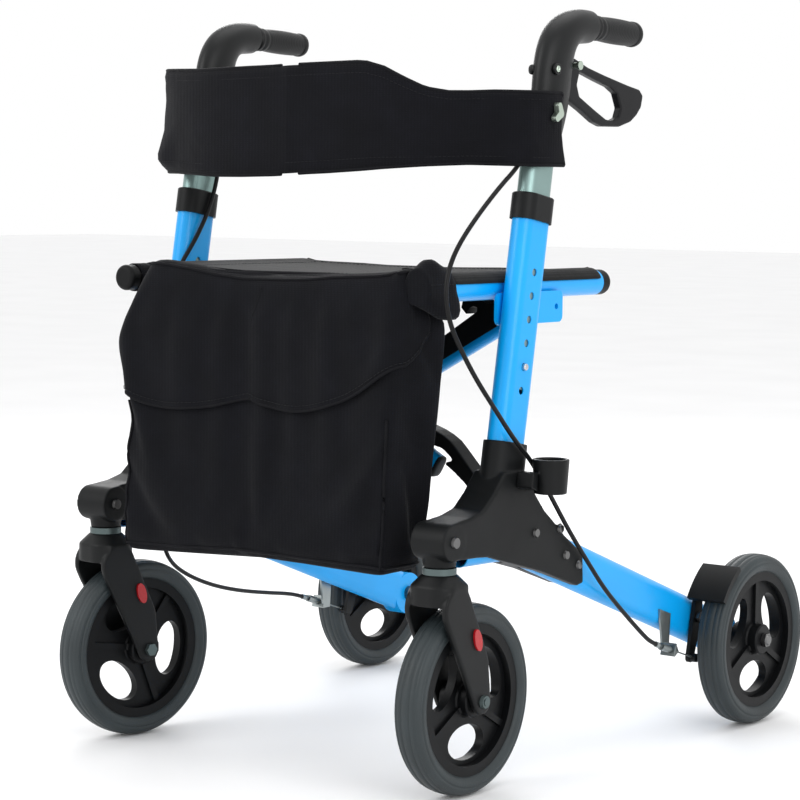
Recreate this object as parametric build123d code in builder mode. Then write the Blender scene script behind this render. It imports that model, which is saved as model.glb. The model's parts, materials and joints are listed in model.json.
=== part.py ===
from build123d import *
import os
from math import sin, cos, tan, radians, degrees, atan2, pi, hypot

# ---------------------------------------------------------------------------
# Folding four-wheeled rollator. Millimetres, +Z up, ground at Z = 0,
# front of the walker towards -Y, the user's left side towards +X.
# The left side is built at +X and mirrored for the right side.
# ---------------------------------------------------------------------------

# side frame
TRACK = 236.0                 # middle plane of the frame tubes, each side
TUBE_L, TUBE_W, TUBE_T = 50.0, 25.0, 1.2      # oval frame tube
UP_Y, UP_Z = -186.3, 361.8    # point on the upright's centre line
UP_DY, UP_DZ = 0.17139, 0.98520   # direction of the upright's centre line
HOLE_PITCH = 25.0
HOLE_R = 4.15
AXLE_Y, AXLE_Z = 255.6, 100.0
# wheels
WHEEL_R, RIM_R, TYRE_W = 100.0, 79.5, 34.0
REAR_X = 282.7
CASTER_X, CASTER_Y, TRAIL = 234.1, -297.5, 42.4
RIGHT_SWIVEL = -7.4           # the right caster is stored a little turned
RIGHT_ROLL = -38.0         # the right front wheel stands rolled by this much about its axle
# cross brace
HINGE_X, HINGE_Z = 200.0, 275.0   # lower brace hinge, runs along Y
CROSS_Z = 385.0                   # crossing pivot at X = 0
RAIL_X, RAIL_Z, RAIL_R = 205.0, 523.0, 14.0
ARM_A_Y, ARM_B_Y = -138.0, -112.0
ARM_SLOPE = (CROSS_Z - HINGE_Z) / HINGE_X
# handles
HOUSE_X = 238.0
GRIP_R = 14.5
# brake
BRAKE_Y, BRAKE_Z = 180.7, 131.7
LEVER_Y, LEVER_Z = -84.0, 757.0
CABLE_R = 2.5

os.makedirs("parts", exist_ok=True)
PARTS = []


def put(made, name):
    """Labels a finished piece and writes it."""
    made.part.label = name
    export_step(made.part, "parts/" + name + ".step")
    PARTS.append(name)


def on_upright(s):
    """A point on the upright's centre line, s millimetres above UP_Z along it."""
    return (UP_Y + s * UP_DY, UP_Z + s * UP_DZ)


PL_UP = Plane(origin=(TRACK, UP_Y, UP_Z), x_dir=(1, 0, 0), z_dir=(0, UP_DY, UP_DZ))


def side_plane(x, y=0.0, z=0.0):
    """A plane facing +X, with its local x along Y and its local y along Z."""
    return Plane(origin=(x, y, z), x_dir=(0, 1, 0), z_dir=(1, 0, 0))


def front_plane(y):
    """A plane facing -Y, with its local x along X and its local y along Z."""
    return Plane(origin=(0, y, 0), x_dir=(1, 0, 0), z_dir=(0, -1, 0))


# ---------------------------------------------------------------------------
# left side frame
# ---------------------------------------------------------------------------
HOLES = [on_upright(79.7 + HOLE_PITCH * k) for k in (-1, 0, 1, 2, 3, 4)]
PIN_Y, PIN_Z = on_upright(79.7)

with BuildPart() as left_upright_tube:
    with BuildSketch(PL_UP.offset(-66)):
        SlotOverall(TUBE_L, TUBE_W, rotation=90)
        SlotOverall(TUBE_L - 2 * TUBE_T, TUBE_W - 2 * TUBE_T, rotation=90, mode=Mode.SUBTRACT)
    extrude(amount=66 + 245)
    with BuildSketch(side_plane(TRACK - 20)):
        with Locations(*HOLES):
            Circle(HOLE_R)
    extrude(amount=40, mode=Mode.SUBTRACT)
put(left_upright_tube, "left_upright_tube")

# lower tube: rises forwards from the rear axle and turns level under the joint
LOW_PTS = [(TRACK, 250.0, 102.6), (TRACK, -180.0, 261.5), (TRACK, -268.0, 263.0)]
JOINT_BOLTS = [(-157.6, 264.8), (-111.7, 264.4), (-99.9, 234.8), (-74.7, 221.6)]
with BuildPart() as left_lower_tube:
    with BuildLine() as low_path:
        FilletPolyline(*LOW_PTS, radius=150)
    with BuildSketch(Plane(origin=low_path.line @ 0, x_dir=(1, 0, 0), z_dir=low_path.line % 0)):
        SlotOverall(TUBE_L, TUBE_W, rotation=90)
        SlotOverall(TUBE_L - 2 * TUBE_T, TUBE_W - 2 * TUBE_T, rotation=90, mode=Mode.SUBTRACT)
    sweep(path=low_path.line)
    # solid flattened end that carries the rear axle
    with BuildSketch(side_plane(TRACK - TUBE_W / 2, AXLE_Y, AXLE_Z)):
        Circle(26.5)
    extrude(amount=TUBE_W)
    with BuildSketch(side_plane(TRACK - 20, AXLE_Y, AXLE_Z)):
        Circle(6.05)
    extrude(amount=40, mode=Mode.SUBTRACT)
    with BuildSketch(side_plane(TRACK - 20)):
        with Locations(*JOINT_BOLTS):
            Circle(2.7)
    extrude(amount=40, mode=Mode.SUBTRACT)
put(left_lower_tube, "left_lower_tube")

# moulded joint that ties the two tubes together and carries the caster
NOSE_Y, NOSE_Z = -302.0, 269.0
with BuildPart() as left_frame_joint:
    with BuildSketch(side_plane(216)):
        with BuildLine():
            Polyline((-214, 333), (-222, 325), (-233, 312.5), (-252, 297), (-274, 291.5), (-302, 288.5), (-302, 250),
                     (-262, 249), (-240, 247.5), (-142, 221.5), (-74, 198.4), (-63, 200.3), (-64.5, 233),
                     (-101, 256.8), (-119, 271.5), (-140, 287.5), (-158, 307), (-161, 320), (-186, 333), close=True)
        make_face()
    extrude(amount=40)
    chamfer(left_frame_joint.faces().sort_by(Axis.X)[-1].edges(), length=1.6)
    with BuildSketch(PL_UP.offset(-52)):
        SlotOverall(57, 33, rotation=90)
    extrude(amount=52)
    # rounded nose
    with BuildSketch(side_plane(214, NOSE_Y, NOSE_Z)):
        Circle(19.5)
    extrude(amount=42.2)
    # conical neck over the caster bearing
    with BuildSketch(Plane((CASTER_X, CASTER_Y, 241.8))):
        Circle(16.5)
    with BuildSketch(Plane((CASTER_X, CASTER_Y, 262))):
        Circle(19.0)
    loft()
    # lugs for the brace hinge pin
    for lug_y in (-154.5, -88.0):
        with BuildSketch(front_plane(lug_y)):
            with BuildLine():
                Polyline((218, 236), (218, 284), (HINGE_X, HINGE_Z + 11), (HINGE_X - 6, HINGE_Z - 9.5), (HINGE_X + 3, 236), close=True)
            make_face()
            with Locations((HINGE_X, HINGE_Z)):
                Circle(11)
        extrude(amount=6)
    # ribs on the outer face
    with BuildSketch(side_plane(255.5)):
        with Locations(JOINT_BOLTS[0], JOINT_BOLTS[1], JOINT_BOLTS[2], JOINT_BOLTS[3]):
            Circle(6.5)
    extrude(amount=0.9)
    # sockets for the tubes
    with BuildSketch(PL_UP.offset(-66.3)):
        SlotOverall(TUBE_L + 0.4, TUBE_W + 0.4, rotation=90)
    extrude(amount=80, mode=Mode.SUBTRACT)
    with BuildLine() as socket_path:
        FilletPolyline((TRACK, 20.0, LOW_PTS[0][2] + (250 - 20) * (LOW_PTS[1][2] - LOW_PTS[0][2]) / 430), LOW_PTS[1], (TRACK, -268.3, 263.005), radius=150)
    with BuildSketch(Plane(origin=socket_path.line @ 0, x_dir=(1, 0, 0), z_dir=socket_path.line % 0)):
        SlotOverall(TUBE_L + 0.4, TUBE_W + 0.4, rotation=90)
    sweep(path=socket_path.line, mode=Mode.SUBTRACT)
    # caster bearing
    with BuildSketch(Plane((CASTER_X, CASTER_Y, 238))):
        Circle(10.05)
    extrude(amount=38, mode=Mode.SUBTRACT)
    # bolt and pin holes
    with BuildSketch(side_plane(TRACK - 25)):
        with Locations(*JOINT_BOLTS):
            Circle(2.7)
    extrude(amount=50, mode=Mode.SUBTRACT)
    for hole_x in (213.0, 252.0):
        with BuildSketch(side_plane(hole_x, NOSE_Y, NOSE_Z)):
            Circle(3.1)
        extrude(amount=5.0, mode=Mode.SUBTRACT)
    with BuildSketch(front_plane(-80)):
        with Locations((HINGE_X, HINGE_Z)):
            Circle(5.05)
    extrude(amount=85, mode=Mode.SUBTRACT)
put(left_frame_joint, "left_frame_joint")

# bolts, the brace hinge pin and the brake pivot bolt, all fixed to the frame
with BuildPart() as left_frame_bolts:
    with BuildSketch(side_plane(216.5)):
        with Locations(*JOINT_BOLTS):
            Circle(2.5)
    extrude(amount=40)
    with BuildSketch(side_plane(256.45)):
        with Locations(*JOINT_BOLTS):
            Circle(5.0)
    extrude(amount=2.4, taper=18)
    # nuts on the inner face
    with BuildSketch(side_plane(212.0)):
        with Locations(*JOINT_BOLTS[1:]):
            RegularPolygon(4.6, 6)
    extrude(amount=3.9)
    with BuildSketch(side_plane(214.0)):
        with Locations(*JOINT_BOLTS[1:]):
            Circle(2.5)
    extrude(amount=4.0)
    # nose screws
    for a, b in ((256.25, 3.0), (213.95, -3.0)):
        with BuildSketch(side_plane(a, NOSE_Y, NOSE_Z)):
            Circle(6.2)
        extrude(amount=b, taper=15)
        with BuildSketch(side_plane(a, NOSE_Y, NOSE_Z)):
            Circle(2.9)
        extrude(amount=-b * 1.3)
    # brace hinge pin with a head and a nut
    with BuildSketch(front_plane(-84.0)):
        with Locations((HINGE_X, HINGE_Z)):
            Circle(4.95)
    extrude(amount=80)
    with BuildSketch(front_plane(-81.9)):
        with Locations((HINGE_X, HINGE_Z)):
            Circle(8.5)
    extrude(amount=6.0)
    with BuildSketch(front_plane(-160.6)):
        with Locations((HINGE_X, HINGE_Z)):
            RegularPolygon(8.2, 6)
    extrude(amount=5.0)
    # brake pivot bolt
    with BuildSketch(side_plane(TRACK + TUBE_W / 2 + 0.05, BRAKE_Y, BRAKE_Z)):
        Circle(6.5)
    extrude(amount=2.2)
    with BuildSketch(side_plane(TRACK + TUBE_W / 2 + 0.05, BRAKE_Y, BRAKE_Z)):
        Circle(3.95)
    extrude(amount=9.0)
    with BuildSketch(side_plane(256.2, BRAKE_Y, BRAKE_Z)):
        RegularPolygon(7.0, 6)
    extrude(amount=4.0)
put(left_frame_bolts, "left_frame_bolts")

with BuildPart() as left_rear_axle:
    with BuildSketch(side_plane(220.0, AXLE_Y, AXLE_Z)):
        Circle(5.95)
    extrude(amount=84.5)
    with BuildSketch(side_plane(218.0, AXLE_Y, AXLE_Z)):
        Circle(9.5)
    extrude(amount=5.4)
    with BuildSketch(side_plane(TRACK + TUBE_W / 2 + 0.1, AXLE_Y, AXLE_Z)):
        Circle(10.5)
    extrude(amount=13.0)
    with BuildSketch(side_plane(301.6, AXLE_Y, AXLE_Z)):
        RegularPolygon(8.6, 6)
    extrude(amount=5.0)
    with BuildSketch(side_plane(306.6, AXLE_Y, AXLE_Z)):
        Circle(6.2)
    extrude(amount=2.0, taper=30)
put(left_rear_axle, "left_rear_axle")


# ---------------------------------------------------------------------------
# wheels: three-spoke moulded rims with grey tyres
# ---------------------------------------------------------------------------
def rim(x, y, z, bore):
    with BuildPart() as made:
        with BuildSketch(side_plane(x, y, z)):
            Circle(RIM_R)
            Circle(69.0, mode=Mode.SUBTRACT)
        extrude(amount=13.0, both=True)
        with BuildSketch(side_plane(x, y, z)):
            Circle(71.0)
        extrude(amount=5.0, both=True)
        with BuildSketch(side_plane(x, y, z)):
            Circle(18.0)
        extrude(amount=18.0, both=True)
        with BuildSketch(side_plane(x, y, z)):
            with PolarLocations(45.0, 3, start_angle=30):
                Ellipse(18.5, 31.0)
        extrude(amount=9.0, both=True, mode=Mode.SUBTRACT)
        # spoke ribs
        with BuildSketch(side_plane(x, y, z)):
            with PolarLocations(43.5, 3, start_angle=90):
                Rectangle(54.0, 7.0)
        extrude(amount=8.5, both=True)
        with BuildSketch(side_plane(x, y, z)):
            Circle(bore)
        extrude(amount=20.0, both=True, mode=Mode.SUBTRACT)
        chamfer(made.edges().filter_by(GeomType.CIRCLE).filter_by(lambda e: abs(e.radius - 18.0) < 0.01), length=1.5)
    return made


def tyre(x, y, z):
    with BuildPart() as made:
        with BuildSketch(Plane(origin=(x, y, z), x_dir=(1, 0, 0), z_dir=(0, 1, 0))):
            with BuildLine():
                l1 = Line((-13.0, RIM_R + 0.05), (13.0, RIM_R + 0.05))
                l2 = Line((13.0, RIM_R + 0.05), (TYRE_W / 2, RIM_R + 6.0))
                l3 = Line((TYRE_W / 2, RIM_R + 6.0), (TYRE_W / 2, RIM_R + 11.0))
                a1 = ThreePointArc((TYRE_W / 2, RIM_R + 11.0), (12.2, 98.2), (0, WHEEL_R))
                a2 = ThreePointArc((0, WHEEL_R), (-12.2, 98.2), (-TYRE_W / 2, RIM_R + 11.0))
                l4 = Line((-TYRE_W / 2, RIM_R + 11.0), (-TYRE_W / 2, RIM_R + 6.0))
                l5 = Line((-TYRE_W / 2, RIM_R + 6.0), (-13.0, RIM_R + 0.05))
            make_face()
        revolve(axis=Axis((x, y, z), (1, 0, 0)))
    return made


FRONT_WY = CASTER_Y + TRAIL
left_rear_rim = rim(REAR_X, AXLE_Y, AXLE_Z, 6.0)
left_rear_tyre = tyre(REAR_X, AXLE_Y, AXLE_Z)
left_front_rim = rim(CASTER_X, FRONT_WY, WHEEL_R, 4.0)
left_front_tyre = tyre(CASTER_X, FRONT_WY, WHEEL_R)
put(left_rear_rim, "left_rear_rim")
put(left_rear_tyre, "left_rear_tyre")
put(left_front_rim, "left_front_rim")
put(left_front_tyre, "left_front_tyre")

# ---------------------------------------------------------------------------
# caster fork
# ---------------------------------------------------------------------------
LEG_IN, LEG_T = 20.5, 6.5
with BuildPart() as left_caster_fork:
    for leg_x in (CASTER_X + LEG_IN, CASTER_X - LEG_IN - LEG_T):
        with BuildSketch(side_plane(leg_x)):
            with Locations((CASTER_Y - 1, 200)):
                Circle(23)
            with Locations((FRONT_WY - 6, 140)):
                Circle(15.5)
            with Locations((FRONT_WY, WHEEL_R)):
                Circle(14)
            make_hull()
        extrude(amount=LEG_T)
    with BuildSketch(Plane((CASTER_X, CASTER_Y, 203.5))):
        RectangleRounded(2 * (LEG_IN + LEG_T), 54, 20)
    extrude(amount=20)
    with BuildSketch(Plane((CASTER_X, CASTER_Y, 223.5))):
        RectangleRounded(2 * (LEG_IN + LEG_T), 54, 20)
    with BuildSketch(Plane((CASTER_X, CASTER_Y, 235.0))):
        RectangleRounded(36, 36, 17.9)
    loft()
    with BuildSketch(Plane((CASTER_X, CASTER_Y, 200))):
        Circle(10.02)
    extrude(amount=40, mode=Mode.SUBTRACT)
    with BuildSketch(side_plane(CASTER_X, FRONT_WY, WHEEL_R)):
        Circle(4.05)
    extrude(amount=40, both=True, mode=Mode.SUBTRACT)
    # nothing of the fork above the crown's base sits inside the wheel's space
    with BuildSketch(side_plane(CASTER_X, FRONT_WY, WHEEL_R)):
        Circle(103.0)
    extrude(amount=LEG_IN, both=True, mode=Mode.SUBTRACT)
put(left_caster_fork, "left_caster_fork")

with BuildPart() as left_caster_hardware:
    with BuildSketch(Plane((CASTER_X, CASTER_Y, 206.0))):
        Circle(10.0)
    extrude(amount=67.5)
    with BuildSketch(Plane((CASTER_X, CASTER_Y, 235.05))):
        Circle(17.6)
    extrude(amount=6.6)
    with BuildSketch(side_plane(CASTER_X, FRONT_WY, WHEEL_R)):
        Circle(3.95)
    extrude(amount=31.5, both=True)
    with BuildSketch(side_plane(CASTER_X + 27.05, FRONT_WY, WHEEL_R)):
        Circle(7.2)
    extrude(amount=3.6, taper=12)
    with BuildSketch(side_plane(CASTER_X - 27.05, FRONT_WY, WHEEL_R)):
        RegularPolygon(7.4, 6)
    extrude(amount=-4.6)
put(left_caster_hardware, "left_caster_hardware")

with BuildPart() as left_fork_reflectors:
    with BuildSketch(side_plane(CASTER_X + 27.05, FRONT_WY - 13, 166)):
        Ellipse(6.0, 12.0, rotation=18)
    extrude(amount=2.4)
    with BuildSketch(side_plane(CASTER_X - 27.05, FRONT_WY - 13, 166)):
        Ellipse(6.0, 12.0, rotation=18)
    extrude(amount=-2.4)
put(left_fork_reflectors, "left_fork_reflectors")

# ---------------------------------------------------------------------------
# rear brake: rocking arm with a tread shoe, cable adjuster and cable
# ---------------------------------------------------------------------------
ANCHOR_Y, ANCHOR_Z = 167.0, 86.0
WIRE_X = 259.6
with BuildPart() as left_brake_arm:
    with BuildSketch(side_plane(251.0)):
        with Locations((BRAKE_Y, BRAKE_Z)):
            Circle(9.5)
        with Locations((185.0, 175.0)):
            Circle(6.0)
        make_hull()
    extrude(amount=4.6)
    with BuildSketch(side_plane(251.0)):
        with Locations((BRAKE_Y, BRAKE_Z)):
            Circle(9.5)
        with Locations((ANCHOR_Y, ANCHOR_Z)):
            Circle(6.0)
        make_hull()
    extrude(amount=4.6)
    # curved shoe above the tread
    with BuildSketch(side_plane(251.0)):
        with BuildLine():
            s1 = CenterArc((AXLE_Y, AXLE_Z), 109.0, 122, 27)
            s2 = CenterArc((AXLE_Y, AXLE_Z), 102.9, 122, 27)
            Line(s1 @ 0, s2 @ 0)
            Line(s1 @ 1, s2 @ 1)
        make_face()
    extrude(amount=49.0)
    # clamp for the cable's inner wire
    with BuildSketch(side_plane(255.0, ANCHOR_Y, ANCHOR_Z)):
        Circle(5.0)
    extrude(amount=8.0)
    with BuildSketch(side_plane(245.0, BRAKE_Y, BRAKE_Z)):
        Circle(4.05)
    extrude(amount=20, mode=Mode.SUBTRACT)
    WIRE_DIR = Vector(0, ANCHOR_Y - 92.8, ANCHOR_Z - 109.7).normalized()
    with BuildSketch(Plane(origin=(WIRE_X, ANCHOR_Y, ANCHOR_Z), x_dir=(1, 0, 0), z_dir=(0, WIRE_DIR.Y, WIRE_DIR.Z))):
        Circle(1.9)
    extrude(amount=12, both=True, mode=Mode.SUBTRACT)
put(left_brake_arm, "left_brake_arm")

WIRE_PLANE = Plane(origin=(WIRE_X, 92.8, 109.7), x_dir=(1, 0, 0), z_dir=(0, WIRE_DIR.Y, WIRE_DIR.Z))
with BuildPart() as left_brake_adjuster:
    # bracket on the tube's outer face with a lug for the barrel
    with BuildSketch(side_plane(TRACK + TUBE_W / 2 + 0.05)):
        with BuildLine():
            Polyline((103, 150), (127, 142), (124, 96), (112, 96), close=True)
        make_face()
    extrude(amount=2.6)
    with BuildSketch(WIRE_PLANE.offset(20.0)):
        with Locations((-2.0, 0)):
            Rectangle(18.0, 15.0)
    extrude(amount=3.0)
    with BuildSketch(WIRE_PLANE.offset(15.0)):
        Circle(3.4)
    extrude(amount=20.0, mode=Mode.SUBTRACT)
    # barrel and lock nut
    with BuildSketch(WIRE_PLANE.offset(0.2)):
        Circle(4.4)
    extrude(amount=17.0)
    with BuildSketch(WIRE_PLANE.offset(15.0)):
        Circle(3.2)
    extrude(amount=20.0)
    with BuildSketch(WIRE_PLANE.offset(23.1)):
        RegularPolygon(6.6, 6)
    extrude(amount=7.0)
    with BuildSketch(WIRE_PLANE.offset(35.0)):
        Circle(0.9)
    extrude(amount=56.0)
put(left_brake_adjuster, "left_brake_adjuster")


def corner_radii(points):
    """Largest tangent arc at each corner: 0.45 of the shorter run over the tangent of half the turn."""
    radii = []
    for a, b, c in zip(points, points[1:], points[2:]):
        u = Vector(*b) - Vector(*a)
        v = Vector(*c) - Vector(*b)
        turn = radians(u.get_angle(v))
        radii.append(0.45 * min(u.length, v.length) / tan(turn / 2))
    return radii


def cable(points):
    radii = corner_radii(points)
    with BuildPart() as made:
        with BuildLine():
            run = FilletPolyline(*points, radius=radii)
        with BuildSketch(Plane(origin=run @ 0, z_dir=run % 0)):
            Circle(CABLE_R)
        sweep(path=run)
    length = run.length
    print("cable: length %.1f, smallest radius %.1f, volume / (section x length) %.4f"
          % (length, min(radii), made.part.volume / (pi * CABLE_R ** 2 * length)))
    print("  radii", [round(r) for r in radii])
    return made


LEFT_CABLE = [
    (239.0, -163.5, 660.5), (239.5, -178.0, 647.2), (240.4, -209.6, 627.7), (241.5, -254.0, 594.6),
    (242.0, -287.5, 563.5), (242.8, -302.5, 538.0), (244.3, -306.0, 513.0), (247.0, -301.5, 489.0),
    (252.0, -290.5, 464.5), (257.5, -271.0, 433.5), (260.5, -240.5, 400.5), (258.5, -203.0, 367.0),
    (256.6, -172.0, 345.0), (257.2, -153.5, 325.5), (259.4, -135.0, 302.0), (262.3, -104.0, 262.5),
    (262.6, -68.0, 226.0), (261.8, -31.0, 190.5), (260.6, 8.0, 161.0), (259.9, 49.0, 131.5), (WIRE_X, 71.5, 116.8),
    (WIRE_X, 92.8, 109.7),
]
left_brake_cable = cable(LEFT_CABLE)
put(left_brake_cable, "left_brake_cable")

RIGHT_CABLE = [
    (-219.4, -121.5, 665.5), (-218.0, -126.5, 646.5), (-217.3, -134.5, 619.0), (-217.3, -147.0, 592.5),
    (-218.6, -166.0, 563.0), (-221.8, -188.0, 535.0), (-222.7, -203.0, 505.0), (-219.5, -215.5, 468.0),
    (-213.5, -228.0, 420.0), (-209.0, -238.0, 366.0), (-207.6, -243.5, 314.0), (-208.5, -240.5, 270.0),
    (-212.5, -229.5, 234.0), (-224.0, -211.0, 207.0), (-235.0, -184.0, 184.5),
    (-238.5, -148.0, 166.0), (-241.5, -103.0, 150.0), (-246.0, -51.0, 137.5), (-251.0, 4.0, 128.0), (-256.0, 46.0, 121.5),
    (-WIRE_X, 72.0, 116.0), (-WIRE_X, 92.8, 109.7),
]
right_brake_cable = cable(RIGHT_CABLE)
put(right_brake_cable, "right_brake_cable")

# ---------------------------------------------------------------------------
# rail saddle: plate on the upright's inner face with a cradle under the rail
# ---------------------------------------------------------------------------
with BuildPart() as left_rail_saddle:
    with BuildSketch(side_plane(219.6)):
        with BuildLine():
            Polyline((-187, 483), (-64, 483), (-64, 517), (-187, 517), close=True)
        make_face()
        fillet(vertices(), radius=7)
    extrude(amount=3.7)
    with BuildSketch(front_plane(-66)):
        with BuildLine():
            c1 = CenterArc((RAIL_X, RAIL_Z), RAIL_R + 0.7, 215, 100)
            c2 = CenterArc((RAIL_X, RAIL_Z), RAIL_R + 4.0, 215, 100)
            Line(c1 @ 0, c2 @ 0)
            Line(c1 @ 1, c2 @ 1)
        make_face()
        with BuildLine():
            Polyline((210, 505.8), (221, 514), (221, 492), (215, 492), close=True)
        make_face()
        with Locations((RAIL_X, RAIL_Z)):
            Circle(RAIL_R + 0.7, mode=Mode.SUBTRACT)
    extrude(amount=24)
    with BuildSketch(side_plane(215)):
        with Locations((-76, 499.9)):
            Circle(3.2)
    extrude(amount=12, mode=Mode.SUBTRACT)
put(left_rail_saddle, "left_rail_saddle")

# ---------------------------------------------------------------------------
# telescoping inner tube, collar and snap button
# ---------------------------------------------------------------------------
with BuildPart() as left_inner_tube:
    with BuildSketch(PL_UP.offset(56)):
        SlotOverall(45, 22, rotation=90)
        SlotOverall(42, 19, rotation=90, mode=Mode.SUBTRACT)
    extrude(amount=338 - 56)
    with BuildSketch(side_plane(TRACK)):
        with Locations((PIN_Y, PIN_Z)):
            Circle(HOLE_R)
    extrude(amount=20, mode=Mode.SUBTRACT)
put(left_inner_tube, "left_inner_tube")

with BuildPart() as left_collar:
    with BuildSketch(PL_UP.offset(233.4)):
        SlotOverall(55.5, 30.5, rotation=90)
    extrude(amount=27.8)
    chamfer(left_collar.faces().sort_by(Axis.Z)[-1].edges(), length=1.2)
    with BuildSketch(PL_UP.offset(230)):
        SlotOverall(TUBE_L + 0.3, TUBE_W + 0.3, rotation=90)
    extrude(amount=15.3, mode=Mode.SUBTRACT)
    with BuildSketch(PL_UP.offset(240)):
        SlotOverall(45.9, 22.9, rotation=90)
    extrude(amount=30, mode=Mode.SUBTRACT)
put(left_collar, "left_collar")

with BuildPart() as left_snap_button:
    with BuildSketch(side_plane(242.0, PIN_Y, PIN_Z)):
        Circle(3.8)
    extrude(amount=10.6)
    fillet(left_snap_button.faces().sort_by(Axis.X)[-1].edges(), radius=1.8)
    with BuildSketch(side_plane(243.7, PIN_Y, PIN_Z)):
        Circle(6.0)
    extrude(amount=1.6)
put(left_snap_button, "left_snap_button")

# ---------------------------------------------------------------------------
# handle: moulded housing with an elbow, grip over its core
# ---------------------------------------------------------------------------
GRIP_A, GRIP_B = (-45.0, 799.8), (46.0, 796.18)      # grip axis, (Y, Z)
_gl = hypot(GRIP_B[0] - GRIP_A[0], GRIP_B[1] - GRIP_A[1])
GRIP_DIR = ((GRIP_B[0] - GRIP_A[0]) / _gl, (GRIP_B[1] - GRIP_A[1]) / _gl)


def section(y, z, ny, nz):
    return Plane(origin=(HOUSE_X, y, z), x_dir=(1, 0, 0), z_dir=(0, ny, nz))


PL_GRIP = section(GRIP_A[0], GRIP_A[1], *GRIP_DIR)
with BuildPart() as handle_body:
    with BuildSketch(section(-133.6, 654.0, 0.171, 0.985)):
        Ellipse(15.6, 27.0)
    with BuildSketch(section(-121.5, 705.0, 0.171, 0.985)):
        Ellipse(16.0, 27.5)
    with BuildSketch(section(-111.0, 757.0, 0.22, 0.975)):
        Ellipse(17.0, 27.0)
    with BuildSketch(section(-97.0, 786.5, 0.62, 0.785)):
        Ellipse(18.0, 22.5)
    with BuildSketch(section(-72.0, 798.3, 0.97, 0.24)):
        Ellipse(18.2, 18.6)
    with BuildSketch(section(-47.5, 799.9, 1.0, -0.04)):
        Ellipse(17.6, 17.6)
    loft()
    # core that carries the grip
    with BuildSketch(PL_GRIP.offset(-4)):
        Circle(9.0)
    extrude(amount=_gl - 2)
    # socket for the inner tube
    with BuildSketch(PL_UP.offset(290)):
        SlotOverall(45.3, 22.3, rotation=90)
    extrude(amount=48.3, mode=Mode.SUBTRACT)
    # slot for the brake lever
    with BuildSketch(side_plane(232.4)):
        with BuildLine():
            Polyline((-99, 712), (-60, 700), (-60, 776), (-99, 774), close=True)
        make_face()
    extrude(amount=11.2, mode=Mode.SUBTRACT)
    with BuildSketch(side_plane(215, LEVER_Y, LEVER_Z)):
        Circle(3.05)
    extrude(amount=50, mode=Mode.SUBTRACT)
    with BuildSketch(side_plane(241.0, -138.0, 704.5)):
        Circle(3.6)
    extrude(amount=20, mode=Mode.SUBTRACT)

def gland_plane(points):
    """Plane at a cable's first point, facing back along its first run."""
    return Plane(origin=points[0], z_dir=Vector(*points[0]) - Vector(*points[1]))


with BuildPart() as left_handle:
    add(handle_body.part)
    with BuildSketch(gland_plane(LEFT_CABLE)):
        Circle(4.3)
    extrude(amount=12)
    with BuildSketch(PL_UP.offset(290)):
        SlotOverall(45.3, 22.3, rotation=90)
    extrude(amount=48.3, mode=Mode.SUBTRACT)
put(left_handle, "left_handle")

PL_UP_RIGHT = Plane(origin=(-TRACK, UP_Y, UP_Z), x_dir=(1, 0, 0), z_dir=(0, UP_DY, UP_DZ))
with BuildPart() as right_handle:
    mirror(handle_body.part, about=Plane.YZ)
    with BuildSketch(gland_plane(RIGHT_CABLE)):
        Circle(4.3)
    extrude(amount=12)
    with BuildSketch(PL_UP_RIGHT.offset(290)):
        SlotOverall(45.3, 22.3, rotation=90)
    extrude(amount=48.3, mode=Mode.SUBTRACT)
put(right_handle, "right_handle")

with BuildPart() as left_grip:
    with BuildSketch(PL_GRIP.offset(0.3)):
        Circle(GRIP_R)
    extrude(amount=_gl)
    fillet(left_grip.faces().sort_by(Axis.Y)[-1].edges(), radius=3.5)
    with BuildSketch(PL_GRIP.offset(-1)):
        Circle(9.1)
    extrude(amount=_gl - 4, mode=Mode.SUBTRACT)
put(left_grip, "left_grip")

LEVER_OUT = [(-91, 765), (-76, 765), (-50, 756.5), (-20, 750), (11, 744), (32, 740), (54, 736.5), (61.5, 730), (58, 717), (49, 708), (37, 700.5),
             (14, 694.5), (-20, 694), (-35, 698), (-60, 709.5), (-86, 720), (-95, 726), (-96, 745)]
LEVER_IN = [(-66, 751.5), (-50, 747.5), (-30, 742.5), (-6, 737), (8, 730.5), (16, 715), (11.5, 705), (0, 700.8), (-13, 702), (-38, 712.5), (-66, 725), (-71, 737)]
with BuildPart() as left_brake_lever:
    with BuildSketch(side_plane(233.2)):
        with BuildLine():
            Polyline(*LEVER_OUT, close=True)
        make_face()
        fillet(vertices(), radius=2.5)
        with BuildLine():
            Polyline(*LEVER_IN, close=True)
        make_face(mode=Mode.SUBTRACT)
    extrude(amount=9.6)
    chamfer(left_brake_lever.faces().sort_by(Axis.X)[-1].edges(), length=0.9)
    chamfer(left_brake_lever.faces().sort_by(Axis.X)[0].edges(), length=0.9)
    with BuildSketch(side_plane(215, LEVER_Y, LEVER_Z)):
        Circle(3.0)
    extrude(amount=50, mode=Mode.SUBTRACT)
put(left_brake_lever, "left_brake_lever")

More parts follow.
